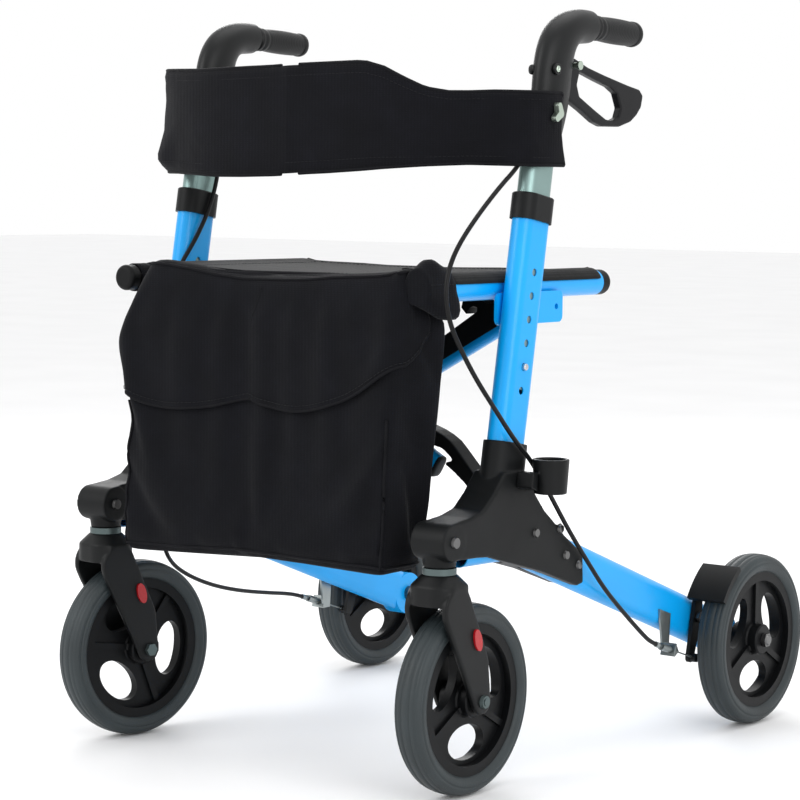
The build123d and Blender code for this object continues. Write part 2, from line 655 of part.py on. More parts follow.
with BuildPart() as left_handle_screws:
    # lever pivot
    with BuildSketch(side_plane(223.5, LEVER_Y, LEVER_Z)):
        Circle(2.95)
    extrude(amount=29.5)
    with BuildSketch(side_plane(252.6, LEVER_Y, LEVER_Z)):
        Circle(4.8)
    extrude(amount=2.6)
    with BuildSketch(side_plane(223.6, LEVER_Y, LEVER_Z)):
        Circle(4.8)
    extrude(amount=-2.6)
    # thumb knob that pinches the housing on the tube
    with BuildSketch(side_plane(242.0, -138.0, 704.5)):
        Circle(3.5)
    extrude(amount=20.5)
    with BuildSketch(side_plane(262.2, -138.0, 704.5)):
        Circle(4.2)
        with Locations((-7.5, -5.0)):
            Circle(3.6)
        make_hull()
    extrude(amount=6.0)
    with BuildSketch(side_plane(262.2, -138.0, 704.5)):
        Circle(4.2)
        with Locations((-3.0, 8.0)):
            Circle(3.4)
        make_hull()
    extrude(amount=6.0)
put(left_handle_screws, "left_handle_screws")

# ---------------------------------------------------------------------------
# cane cup on the left joint, clear of the cable that runs behind it
# ---------------------------------------------------------------------------
CUP_X, CUP_Y = 279.2, -165.0
with BuildPart() as cane_cup:
    with BuildSketch(Plane((CUP_X, CUP_Y, 309.0))):
        Circle(17.2)
    with BuildSketch(Plane((CUP_X, CUP_Y, 345.5))):
        Circle(19.6)
    loft()
    with BuildSketch(side_plane(256.05)):
        with BuildLine():
            Polyline((-196, 317), (-185.0, 313), (-185.0, 333), (-193.5, 332), close=True)
        make_face()
    extrude(amount=21)
    with BuildSketch(Plane((CUP_X, CUP_Y, 312.5))):
        Circle(15.5)
    extrude(amount=40, mode=Mode.SUBTRACT)
put(cane_cup, "cane_cup")

# ---------------------------------------------------------------------------
# cross brace. Arm A goes from the left hinge up to the right rail.
# ---------------------------------------------------------------------------
def arm_z(x):
    return CROSS_Z - ARM_SLOPE * x


ARM_T = 18.0
LEN = hypot(1.0, ARM_SLOPE)
NX, NZ = ARM_SLOPE / LEN, 1.0 / LEN        # unit normal of the arm, upwards


def off(x, d):
    """Point at station x of arm A's centre line, moved d along its normal."""
    return (x + NX * d, arm_z(x) + NZ * d)


with BuildPart() as brace_arm_a:
    with BuildSketch(front_plane(ARM_A_Y + ARM_T / 2)):
        with BuildLine():
            Polyline(off(112, -13), off(112, 13), off(-188, 13), off(-188, -13), close=True)
        make_face()
    extrude(amount=ARM_T)
    fillet(brace_arm_a.edges().filter_by(lambda e: e.length > 200), radius=7.5)
    with BuildSketch(Plane(origin=(off(112, 0)[0], ARM_A_Y, off(112, 0)[1]), x_dir=(0, 1, 0), z_dir=(-1.0 / LEN, 0, ARM_SLOPE / LEN))):
        RectangleRounded(ARM_T - 3.2, 26 - 3.2, 5.5)
    extrude(amount=350, mode=Mode.SUBTRACT)
    with BuildSketch(front_plane(ARM_A_Y + ARM_T / 2)):
        with Locations((0, CROSS_Z)):
            Circle(9.0)
    extrude(amount=ARM_T)
    with BuildSketch(front_plane(ARM_A_Y + 20)):
        with Locations((0, CROSS_Z)):
            Circle(5.0)
    extrude(amount=40, mode=Mode.SUBTRACT)
put(brace_arm_a, "brace_arm_a")

# moulded foot: an arched arm end with a pointed gusset, hinged on the frame
FOOT_T = 23.0
with BuildPart() as brace_foot_a:
    with BuildSketch(front_plane(ARM_A_Y + FOOT_T / 2)):
        with BuildLine():
            Polyline((22, 345), (18, 391.5), (50, 381), (80, 374), (100, 368.5), (117, 363), (127, 358.5), (137, 352.5), (146, 344), (155, 334.5),
                     (164, 325), (171, 317.5), (180, 309), (196, 292), (210.5, 279), (211.5, 273), (206, 265.5), (196, 264.5),
                     (186, 273), (176, 287), (168, 298), (161, 304.5), (152, 312), (140, 321), (129, 327.5), (133, 330.5), (141, 331.5),
                     (134, 338), (126, 344), (115, 346.5), (98, 348), (72, 333), (66, 334), close=True)
        make_face()
        fillet(vertices(), radius=1.6)
        with Locations((HINGE_X, HINGE_Z)):
            Circle(11.5)
    extrude(amount=FOOT_T)
    with BuildSketch(front_plane(ARM_A_Y + ARM_T / 2 + 0.15)):
        with BuildLine():
            Polyline(off(140, -13.2), off(140, 13.2), off(-20, 13.2), off(-20, -13.2), close=True)
        make_face()
    extrude(amount=ARM_T + 0.3, mode=Mode.SUBTRACT)
    with BuildSketch(front_plane(ARM_A_Y + 20)):
        with Locations((HINGE_X, HINGE_Z)):
            Circle(5.0)
    extrude(amount=40, mode=Mode.SUBTRACT)
put(brace_foot_a, "brace_foot_a")

with BuildPart() as right_seat_rail:
    with BuildSketch(front_plane(24)):
        with Locations((-RAIL_X, RAIL_Z)):
            Circle(RAIL_R)
            Circle(RAIL_R - 1.5, mode=Mode.SUBTRACT)
    extrude(amount=24 + 262)
put(right_seat_rail, "right_seat_rail")

with BuildPart() as right_rail_fittings:
    # bracket over the arm's end, with a claw and a clamp under the rail
    with BuildSketch(front_plane(ARM_A_Y + FOOT_T / 2)):
        with BuildLine():
            Polyline(off(-92, -4), off(-196, -4), (-212, 506), (-208, 523), (-190, 523), (-186, 506), (-172, 502.5), (-165, 502), (-152, 507.5), (-146, 509.5),
                     (-137, 508.5), (-132.5, 503), (-131, 496.5), (-137.5, 490), (-142, 496.5), (-147, 499), (-152, 497.5), (-152, 493), off(-92, 16), close=True)
        make_face()
        with Locations((-RAIL_X, RAIL_Z)):
            Circle(RAIL_R + 0.1, mode=Mode.SUBTRACT)
    extrude(amount=FOOT_T)
    with BuildSketch(front_plane(ARM_A_Y + ARM_T / 2 + 0.15)):
        with BuildLine():
            Polyline(off(-80, -13.2), off(-80, 13.2), off(-188.3, 13.2), off(-188.3, -13.2), close=True)
        make_face()
    extrude(amount=ARM_T + 0.3, mode=Mode.SUBTRACT)
    # front plug and knob
    with BuildSketch(front_plane(-262.1)):
        with Locations((-RAIL_X, RAIL_Z)):
            Circle(12.5)
    extrude(amount=24.0)
    with BuildSketch(front_plane(-286.0)):
        with Locations((-RAIL_X, RAIL_Z)):
            Circle(14.2)
    extrude(amount=14.0)
    fillet(right_rail_fittings.faces().sort_by(Axis.Y)[0].edges(), radius=5)
    # rear cap
    with BuildSketch(front_plane(43)):
        with Locations((-RAIL_X, RAIL_Z)):
            Circle(RAIL_R)
    extrude(amount=18.9)
    fillet(right_rail_fittings.faces().sort_by(Axis.Y)[-1].edges(), radius=8)
put(right_rail_fittings, "right_rail_fittings")

# arm B is arm A turned to the other side and set behind it
STEP_BACK = Location((0, ARM_B_Y - ARM_A_Y, 0))
with BuildPart() as brace_arm_b:
    add(brace_arm_a.part.mirror(Plane.YZ).moved(STEP_BACK))
put(brace_arm_b, "brace_arm_b")
with BuildPart() as brace_foot_b:
    add(brace_foot_a.part.mirror(Plane.YZ).moved(STEP_BACK))
put(brace_foot_b, "brace_foot_b")
with BuildPart() as left_seat_rail:
    mirror(right_seat_rail.part, about=Plane.YZ)
put(left_seat_rail, "left_seat_rail")

with BuildPart() as left_rail_fittings:
    with BuildSketch(front_plane(ARM_B_Y + FOOT_T / 2)):
        with BuildLine():
            Polyline(*[(-x, z) for x, z in [off(-92, -4), off(-196, -4), (-212, 506), (-208, 523), (-190, 523), (-186, 506), (-172, 502.5), (-165, 502), (-152, 507.5), (-146, 509.5),
                     (-137, 508.5), (-132.5, 503), (-131, 496.5), (-137.5, 490), (-142, 496.5), (-147, 499), (-152, 497.5), (-152, 493), off(-92, 16)]], close=True)
        make_face()
        with Locations((RAIL_X, RAIL_Z)):
            Circle(RAIL_R + 0.1, mode=Mode.SUBTRACT)
    extrude(amount=FOOT_T)
    with BuildSketch(front_plane(ARM_B_Y + ARM_T / 2 + 0.15)):
        with BuildLine():
            Polyline(*[(-x, z) for x, z in [off(-80, -13.2), off(-80, 13.2), off(-188.3, 13.2), off(-188.3, -13.2)]], close=True)
        make_face()
    extrude(amount=ARM_T + 0.3, mode=Mode.SUBTRACT)
    with BuildSketch(front_plane(-262.1)):
        with Locations((RAIL_X, RAIL_Z)):
            Circle(12.5)
    extrude(amount=24.0)
    with BuildSketch(front_plane(-286.0)):
        with Locations((RAIL_X, RAIL_Z)):
            Circle(14.2)
    extrude(amount=14.0)
    fillet(left_rail_fittings.faces().sort_by(Axis.Y)[0].edges(), radius=5)
    with BuildSketch(front_plane(43)):
        with Locations((RAIL_X, RAIL_Z)):
            Circle(RAIL_R)
    extrude(amount=18.9)
    fillet(left_rail_fittings.faces().sort_by(Axis.Y)[-1].edges(), radius=8)
put(left_rail_fittings, "left_rail_fittings")

with BuildPart() as cross_bolt:
    with BuildSketch(front_plane(-99.0)):
        with Locations((0, CROSS_Z)):
            Circle(4.95)
    extrude(amount=55)
    with BuildSketch(front_plane(-98.0)):
        with Locations((0, CROSS_Z)):
            Circle(9.0)
    extrude(amount=4.5)
    with BuildSketch(front_plane(-147.6)):
        with Locations((0, CROSS_Z)):
            RegularPolygon(8.6, 6)
    extrude(amount=6.0)
put(cross_bolt, "cross_bolt")

# ---------------------------------------------------------------------------
# soft goods, as plain solids of the right size
# ---------------------------------------------------------------------------
with BuildPart() as seat_sling:
    with BuildSketch(Plane.XY.offset(529.5)):
        with Locations((0, -121)):
            Rectangle(2 * 190.4, 274)
    extrude(amount=7.5)
put(seat_sling, "seat_sling")

BAG_HALF, BAG_FRONT, BAG_BACK, BAG_LOW, BAG_TOP = 184.0, -322.0, -246.0, 231.0, 519.0
with BuildPart() as storage_bag:
    with BuildSketch(Plane((0, (BAG_FRONT + BAG_BACK) / 2, BAG_LOW))):
        RectangleRounded(2 * BAG_HALF, BAG_BACK - BAG_FRONT, 18)
    extrude(amount=BAG_TOP - BAG_LOW)
    fillet(storage_bag.faces().sort_by(Axis.Z)[0].edges(), radius=10)
    with BuildSketch(side_plane(-200)):
        with BuildLine():
            Polyline((-262, 530), (-262, 500), (-240, 500), (-240, 530), close=True)
        make_face()
    extrude(amount=400, mode=Mode.SUBTRACT)
put(storage_bag, "storage_bag")

# strap half, seen from above: outer line from the handle to the middle
STRAP_OUT = [(260.2, -118), (260.3, -140), (257.8, -160), (250, -178), (229, -203), (182, -231), (110, -254), (0.2, -264)]
STRAP_IN = [(0.2, -255), (107, -246), (176, -224.5), (221.5, -197.5), (242, -175.5), (252.4, -158), (255.6, -140), (255.6, -118)]
with BuildPart() as left_backrest:
    with BuildSketch(Plane.XY.offset(643)):
        with BuildLine():
            Polyline(*(STRAP_OUT + STRAP_IN), close=True)
        make_face()
    extrude(amount=118)
    with BuildSketch(front_plane(-100)):
        with BuildLine():
            Polyline((95, 770), (120, 755), (150, 740), (190, 732), (290, 731), (290, 790), (95, 790), close=True)
        make_face()
    extrude(amount=200, mode=Mode.SUBTRACT)
    with BuildSketch(front_plane(-100)):
        with BuildLine():
            Polyline((-1, 642), (60, 645), (180, 652), (290, 652), (290, 630), (-1, 630), close=True)
        make_face()
    extrude(amount=200, mode=Mode.SUBTRACT)
    with BuildSketch(side_plane(245, -138.0, 704.5)):
        Circle(5.0)
    extrude(amount=20, mode=Mode.SUBTRACT)
put(left_backrest, "left_backrest")

with BuildPart() as right_backrest:
    with BuildSketch(Plane.XY.offset(643)):
        with BuildLine():
            Polyline(*[(-x, y) for x, y in STRAP_OUT + STRAP_IN], close=True)
        make_face()
    extrude(amount=118)
    with BuildSketch(front_plane(-100)):
        with BuildLine():
            Polyline((1, 642), (-60, 642.5), (-180, 645), (-290, 653), (-290, 630), (1, 630), close=True)
        make_face()
    extrude(amount=200, mode=Mode.SUBTRACT)
    with BuildSketch(side_plane(-265, -138.0, 704.5)):
        Circle(5.0)
    extrude(amount=20, mode=Mode.SUBTRACT)
put(right_backrest, "right_backrest")

# ---------------------------------------------------------------------------
# right side: mirrored pieces
# ---------------------------------------------------------------------------
MIRRORED = [
    ("upright_tube", left_upright_tube), ("lower_tube", left_lower_tube), ("frame_joint", left_frame_joint),
    ("frame_bolts", left_frame_bolts), ("rear_axle", left_rear_axle), ("rear_rim", left_rear_rim), ("rear_tyre", left_rear_tyre),
    ("brake_arm", left_brake_arm), ("brake_adjuster", left_brake_adjuster), ("rail_saddle", left_rail_saddle),
    ("inner_tube", left_inner_tube), ("collar", left_collar), ("snap_button", left_snap_button),
    ("grip", left_grip), ("brake_lever", left_brake_lever), ("handle_screws", left_handle_screws),
]
for tail, source in MIRRORED:
    with BuildPart() as right_piece:
        mirror(source.part, about=Plane.YZ)
    put(right_piece, "right_" + tail)

# the right caster stands turned about its stem
for tail, source in (("caster_fork", left_caster_fork), ("caster_hardware", left_caster_hardware), ("fork_reflectors", left_fork_reflectors),
                     ("front_rim", left_front_rim), ("front_tyre", left_front_tyre)):
    with BuildPart() as right_piece:
        roll = RIGHT_ROLL if tail == "front_rim" else 0
        rolled = source.part.mirror(Plane.YZ).rotate(Axis((-CASTER_X, FRONT_WY, WHEEL_R), (1, 0, 0)), roll)
        add(rolled.rotate(Axis((-CASTER_X, CASTER_Y, 0), (0, 0, 1)), RIGHT_SWIVEL))
    put(right_piece, "right_" + tail)

print(len(PARTS), "pieces")
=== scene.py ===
import bpy, bmesh, json, math
from mathutils import Vector, Matrix, noise
from mathutils.bvhtree import BVHTree


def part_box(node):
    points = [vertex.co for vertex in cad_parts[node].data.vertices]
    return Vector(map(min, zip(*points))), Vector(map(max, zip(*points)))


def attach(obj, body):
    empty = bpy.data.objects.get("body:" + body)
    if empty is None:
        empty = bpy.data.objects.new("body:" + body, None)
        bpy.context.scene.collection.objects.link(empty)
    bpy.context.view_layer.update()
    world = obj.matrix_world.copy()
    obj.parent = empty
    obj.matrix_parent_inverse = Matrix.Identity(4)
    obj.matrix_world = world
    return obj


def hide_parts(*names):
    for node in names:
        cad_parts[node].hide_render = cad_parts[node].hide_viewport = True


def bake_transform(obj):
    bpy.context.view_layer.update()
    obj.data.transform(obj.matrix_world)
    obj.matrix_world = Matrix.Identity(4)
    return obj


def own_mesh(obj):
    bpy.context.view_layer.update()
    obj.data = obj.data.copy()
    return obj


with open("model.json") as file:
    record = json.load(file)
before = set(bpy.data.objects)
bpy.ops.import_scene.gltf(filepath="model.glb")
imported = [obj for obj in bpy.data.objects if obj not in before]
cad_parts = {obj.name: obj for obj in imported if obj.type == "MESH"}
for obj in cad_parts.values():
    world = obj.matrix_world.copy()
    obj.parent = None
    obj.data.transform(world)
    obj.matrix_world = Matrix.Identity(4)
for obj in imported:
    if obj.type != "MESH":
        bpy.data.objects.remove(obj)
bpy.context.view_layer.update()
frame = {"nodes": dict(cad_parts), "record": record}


nodes = frame["nodes"]
MM = 0.001


def lerp_list(x, table):
    """Straight-line reading of a table of (x, y) pairs, ascending in x."""
    if x <= table[0][0]:
        return table[0][1]
    for (x0, y0), (x1, y1) in zip(table, table[1:]):
        if x <= x1:
            return y0 + (y1 - y0) * (x - x0) / (x1 - x0)
    return table[-1][1]


def smooth(t):
    t = max(0.0, min(1.0, t))
    return t * t * (3 - 2 * t)


# --------------------------------------------------------------------------- materials
def new_material(name):
    m = bpy.data.materials.new(name)
    m.use_nodes = True
    nt = m.node_tree
    nt.nodes.clear()
    out = nt.nodes.new("ShaderNodeOutputMaterial")
    bsdf = nt.nodes.new("ShaderNodeBsdfPrincipled")
    nt.links.new(bsdf.outputs[0], out.inputs["Surface"])
    coord = nt.nodes.new("ShaderNodeTexCoord")
    return m, nt, bsdf, coord


def noise_node(nt, coord, scale, detail=3.0, rough=0.5):
    n = nt.nodes.new("ShaderNodeTexNoise")
    n.inputs["Scale"].default_value = scale
    n.inputs["Detail"].default_value = detail
    n.inputs["Roughness"].default_value = rough
    nt.links.new(coord.outputs["Object"], n.inputs["Vector"])
    return n


def ramp(nt, src, stops):
    r = nt.nodes.new("ShaderNodeValToRGB")
    while len(r.color_ramp.elements) < len(stops):
        r.color_ramp.elements.new(0.5)
    for e, (p, c) in zip(r.color_ramp.elements, stops):
        e.position = p
        e.color = (c[0], c[1], c[2], 1)
    nt.links.new(src, r.inputs["Fac"])
    return r


def map_range(nt, src, lo, hi):
    r = nt.nodes.new("ShaderNodeMapRange")
    r.inputs["To Min"].default_value = lo
    r.inputs["To Max"].default_value = hi
    nt.links.new(src, r.inputs["Value"])
    return r


def shade(c, k):
    return tuple(min(1.0, v * k) for v in c)


def solid(name, colour, rough, metal=0.0, grain=900.0, bump=0.12, vary=0.10, vary_scale=14.0, coat=0.0, spread=0.07, spec=0.35, brushed=None):
    m, nt, bsdf, coord = new_material(name)
    big = noise_node(nt, coord, vary_scale, 4.0)
    c = ramp(nt, big.outputs["Fac"], [(0.3, shade(colour, 1 - vary)), (0.7, shade(colour, 1 + vary))])
    nt.links.new(c.outputs["Color"], bsdf.inputs["Base Color"])
    mid = noise_node(nt, coord, vary_scale * 4, 5.0, 0.6)
    r = map_range(nt, mid.outputs["Fac"], max(0.02, rough - spread), min(1.0, rough + spread))
    nt.links.new(r.outputs["Result"], bsdf.inputs["Roughness"])
    fine = noise_node(nt, coord, grain, 2.0)
    if brushed:
        mp = nt.nodes.new("ShaderNodeMapping")
        mp.inputs["Scale"].default_value = brushed
        nt.links.new(coord.outputs["Object"], mp.inputs["Vector"])
        nt.links.new(mp.outputs["Vector"], fine.inputs["Vector"])
    b = nt.nodes.new("ShaderNodeBump")
    b.inputs["Strength"].default_value = bump
    b.inputs["Distance"].default_value = 0.0006
    nt.links.new(fine.outputs["Fac"], b.inputs["Height"])
    nt.links.new(b.outputs["Normal"], bsdf.inputs["Normal"])
    bsdf.inputs["Metallic"].default_value = metal
    bsdf.inputs["Coat Weight"].default_value = coat
    bsdf.inputs["Coat Roughness"].default_value = 0.08
    bsdf.inputs["IOR"].default_value = 1.5
    bsdf.inputs["Specular IOR Level"].default_value = spec
    return m


def woven(name, colour, pitch=0.0016, rough=0.88, sheen=0.05, fold=22.0, flat=False):
    """Plain weave: two crossed sets of threads in the object's own coordinates, with soft creases above them."""
    m, nt, bsdf, coord = new_material(name)
    waves = []
    for k in (0, 1):
        mp = nt.nodes.new("ShaderNodeMapping")
        if flat:
            mp.inputs["Rotation"].default_value = (0, 0, 0 if k == 0 else math.pi / 2)
        else:
            mp.inputs["Rotation"].default_value = (0, 0, math.radians(-45)) if k == 0 else (0, math.pi / 2, 0)
        nt.links.new(coord.outputs["Object"], mp.inputs["Vector"])
        w = nt.nodes.new("ShaderNodeTexWave")
        w.wave_type = "BANDS"
        w.bands_direction = "X"
        w.inputs["Scale"].default_value = 0.314 / pitch / (1.41 if (k == 0 and not flat) else 1.0)
        w.inputs["Distortion"].default_value = 0.6
        w.inputs["Detail"].default_value = 1.0
        w.inputs["Detail Scale"].default_value = 2.0
        nt.links.new(mp.outputs["Vector"], w.inputs["Vector"])
        waves.append(w)
    mul = nt.nodes.new("ShaderNodeMath")
    mul.operation = "MULTIPLY"
    nt.links.new(waves[0].outputs["Fac"], mul.inputs[0])
    nt.links.new(waves[1].outputs["Fac"], mul.inputs[1])
    big = noise_node(nt, coord, fold, 5.0, 0.6)
    add = nt.nodes.new("ShaderNodeMath")
    add.operation = "MULTIPLY_ADD"
    nt.links.new(mul.outputs[0], add.inputs[0])
    add.inputs[1].default_value = 0.35
    nt.links.new(big.outputs["Fac"], add.inputs[2])
    c = ramp(nt, add.outputs[0], [(0.30, shade(colour, 0.70)), (0.62, colour), (1.0, shade(colour, 1.9))])
    nt.links.new(c.outputs["Color"], bsdf.inputs["Base Color"])
    r = map_range(nt, big.outputs["Fac"], rough - 0.08, min(1.0, rough + 0.10))
    nt.links.new(r.outputs["Result"], bsdf.inputs["Roughness"])
    b1 = nt.nodes.new("ShaderNodeBump")
    b1.inputs["Strength"].default_value = 0.45
    b1.inputs["Distance"].default_value = 0.0005
    nt.links.new(mul.outputs[0], b1.inputs["Height"])
    crease = noise_node(nt, coord, fold * 1.6, 6.0, 0.55)
    b2 = nt.nodes.new("ShaderNodeBump")
    b2.inputs["Strength"].default_value = 0.30
    b2.inputs["Distance"].default_value = 0.004
    nt.links.new(crease.outputs["Fac"], b2.inputs["Height"])
    nt.links.new(b1.outputs["Normal"], b2.inputs["Normal"])
    nt.links.new(b2.outputs["Normal"], bsdf.inputs["Normal"])
    bsdf.inputs["Sheen Weight"].default_value = sheen
    bsdf.inputs["Sheen Roughness"].default_value = 0.45
    bsdf.inputs["Specular IOR Level"].default_value = 0.10
    return m


BLUE = (0.0, 0.345, 0.82)
INK = (0.0042, 0.0043, 0.0060)
COAL = (0.0050, 0.0056, 0.0060)
MAT = {
    "frame_paint": solid("blue powder coat", BLUE, 0.34, grain=1500, bump=0.05, vary=0.05, vary_scale=9, coat=0.12, spec=0.35),
    "frame_joint_black": solid("moulded nylon", COAL, 0.46, grain=1300, bump=0.35, vary=0.25, spec=0.16),
    "bolt_steel": solid("dark zinc", (0.14, 0.14, 0.14), 0.32, metal=1.0, grain=1400, bump=0.10, vary=0.25),
    "rim_black": solid("rim plastic", (0.0042, 0.0046, 0.0052), 0.40, grain=1200, bump=0.25, vary=0.25, spec=0.14),
    "tyre_grey": solid("slate tyre", (0.020, 0.028, 0.031), 0.50, grain=520, bump=0.5, vary=0.20, vary_scale=22, spec=0.42),
    "black_plastic": solid("black plastic", COAL, 0.42, grain=1200, bump=0.25, vary=0.25, spec=0.18),
    "adjuster_steel": solid("adjuster zinc", (0.30, 0.33, 0.33), 0.34, metal=1.0, grain=1400, bump=0.12, vary=0.2),
    "cable_black": solid("cable sheath", (0.0045, 0.0045, 0.005), 0.38, grain=1500, bump=0.10, vary=0.2, spec=0.20),
    "inner_tube_silver": solid("satin anodised", (0.25, 0.36, 0.345), 0.34, metal=0.9, grain=900, bump=0.16, vary=0.08, brushed=(60, 60, 1)),
    "button_steel": solid("button steel", (0.55, 0.55, 0.57), 0.25, metal=1.0, grain=1400, bump=0.05),
    "housing_black": solid("housing plastic", COAL, 0.38, grain=1300, bump=0.28, vary=0.25, spec=0.26),
    "grip_rubber": solid("grip rubber", (0.006, 0.0065, 0.007), 0.46, grain=700, bump=0.45, vary=0.25, spec=0.28),
    "lever_black": solid("lever plastic", (0.0042, 0.0043, 0.0055), 0.44, grain=1200, bump=0.22, vary=0.25, spec=0.20),
    "screw_silver": solid("satin aluminium", (0.50, 0.58, 0.50), 0.30, metal=1.0, grain=1200, bump=0.10),
    "fork_black": solid("fork plastic", COAL, 0.42, grain=1200, bump=0.28, vary=0.25, spec=0.20),
    "bearing_grey": solid("bearing ring", (0.10, 0.13, 0.13), 0.42, metal=0.8, grain=1200, bump=0.10),
    "reflector_red": solid("red reflector", (0.36, 0.006, 0.010), 0.20, grain=420, bump=0.9, vary=0.2, coat=0.3, spec=0.3),
    "foot_black": solid("glass-filled nylon", (0.0045, 0.0048, 0.0052), 0.46, grain=1100, bump=0.36, vary=0.3, spec=0.14),
    "strap_fabric": woven("strap fabric", INK, pitch=0.0022),
    "seat_fabric": woven("seat fabric", (0.0085, 0.0085, 0.0085), pitch=0.0022, sheen=0.10, flat=True),
    "bag_fabric": woven("bag fabric", (0.0042, 0.0044, 0.0060), pitch=0.0022, sheen=0.04),
}
TAPE = solid("binding tape", (0.0046, 0.0047, 0.0062), 0.64, grain=2200, bump=0.6, vary=0.2, spec=0.10)
THREAD = solid("stitching thread", (0.011, 0.011, 0.013), 0.60, grain=2500, bump=0.5, vary=0.2, spec=0.15)

slot_of = {s["node"]: s.get("material_slot", s["node"]) for s in frame["record"]["subparts"]}
for name, obj in nodes.items():
    m = MAT[slot_of[name]]
    obj.data.materials.clear()
    obj.data.materials.append(m)


# --------------------------------------------------------------------------- mesh helpers
def mesh_object(name, verts, faces, mats, face_mat=None, smooth_faces=True):
    me = bpy.data.meshes.new(name)
    me.from_pydata([tuple(v) for v in verts], [], faces)
    me.validate()
    for m in mats:
        me.materials.append(m)
    if face_mat is not None:
        for p, k in zip(me.polygons, face_mat):
            p.material_index = k
    for p in me.polygons:
        p.use_smooth = smooth_faces
    ob = bpy.data.objects.new(name, me)
    bpy.context.collection.objects.link(ob)
    bm = bmesh.new()
    bm.from_mesh(me)
    bmesh.ops.recalc_face_normals(bm, faces=bm.faces)
    bm.to_mesh(me)
    bm.free()
    return ob


class Builder:
    """Collects several closed shells into one mesh, each with its own material index."""

    def __init__(self):
        self.v, self.f, self.m = [], [], []

    def grid(self, rows, mat=0, close_u=False, close_v=False, cap=False):
        base = len(self.v)
        nr, nc = len(rows), len(rows[0])
        for r in rows:
            self.v.extend(Vector(p) for p in r)
        for i in range(nr if close_v else nr - 1):
            for j in range(nc if close_u else nc - 1):
                a = base + i * nc + j
                b = base + i * nc + (j + 1) % nc
                c = base + ((i + 1) % nr) * nc + (j + 1) % nc
                d = base + ((i + 1) % nr) * nc + j
                self.f.append((a, b, c, d))
                self.m.append(mat)
        if cap:
            for i, flip in ((0, True), (nr - 1, False)):
                ring = [base + i * nc + j for j in range(nc)]
                centre = sum((self.v[k] for k in ring), Vector()) / nc
                self.v.append(centre)
                k = len(self.v) - 1
                for j in range(nc):
                    a, b = ring[j], ring[(j + 1) % nc]
                    self.f.append((b, a, k) if flip else (a, b, k))
                    self.m.append(mat)

    def tube(self, pts, r, mat=0, n=8, closed=False):
        pts = [Vector(p) for p in pts]
        rows = []
        up = Vector((0, 0, 1))
        for i, p in enumerate(pts):
            a = pts[i - 1] if i > 0 else (pts[-1] if closed else p)
            b = pts[(i + 1) % len(pts)] if (i < len(pts) - 1 or closed) else p
            t = (b - a).normalized()
            s = t.cross(up)
            if s.length < 1e-4:
                s = t.cross(Vector((0, 1, 0)))
            s.normalize()
            q = s.cross(t).normalized()
            rows.append([p + (s * math.cos(2 * math.pi * k / n) + q * math.sin(2 * math.pi * k / n)) * r for k in range(n)])
        self.grid(rows, mat, close_u=True, close_v=closed, cap=not closed)

    def stitches(self, pts, step, length, r, mat=0):
        """A row of short raised threads along a line of points."""
        pts = [Vector(p) for p in pts]
        acc = 0.0
        for a, b in zip(pts, pts[1:]):
            d = b - a
            L = d.length
            if L < 1e-7:
                continue
            t = -acc
            while t < L:
                if t >= 0:
                    c = a + d * (t / L)
                    h = d.normalized() * (length / 2)
                    self.tube([c - h, c - h * 0.5, c + h * 0.5, c + h], r, mat, n=6)
                t += step
            acc = (acc + L) % step

    def build(self, name, mats):
        return mesh_object(name, self.v, self.f, mats, self.m)


def apply_modifiers(ob):
    dg = bpy.context.evaluated_depsgraph_get()
    me = bpy.data.meshes.new_from_object(ob.evaluated_get(dg), preserve_all_data_layers=True, depsgraph=dg)
    old = ob.data
    ob.modifiers.clear()
    ob.data = me
    bpy.data.meshes.remove(old)
    for p in ob.data.polygons:
        p.use_smooth = True
    return ob


# --------------------------------------------------------------------------- camera
cam_data = bpy.data.cameras.new("camera")
cam = bpy.data.objects.new("camera", cam_data)
bpy.context.collection.objects.link(cam)
bpy.context.scene.camera = cam
cam_data.sensor_width = 36.0
cam_data.lens = 2560.5 / 800 * 36.0
cam_data.clip_end = 50
A, E, R = math.radians(37.36), math.radians(4.8), math.radians(0.59)
back = Vector((math.sin(A) * math.cos(E), -math.cos(A) * math.cos(E), math.sin(E)))
right0 = Vector((math.cos(A), math.sin(A), 0))
up0 = back.cross(right0)
right = right0 * math.cos(R) + up0 * math.sin(R)
up = up0 * math.cos(R) - right0 * math.sin(R)
cam.matrix_world = Matrix(((right.x, up.x, back.x, 1.7662), (right.y, up.y, back.y, -2.3734), (right.z, up.z, back.z, 0.6286), (0, 0, 0, 1)))

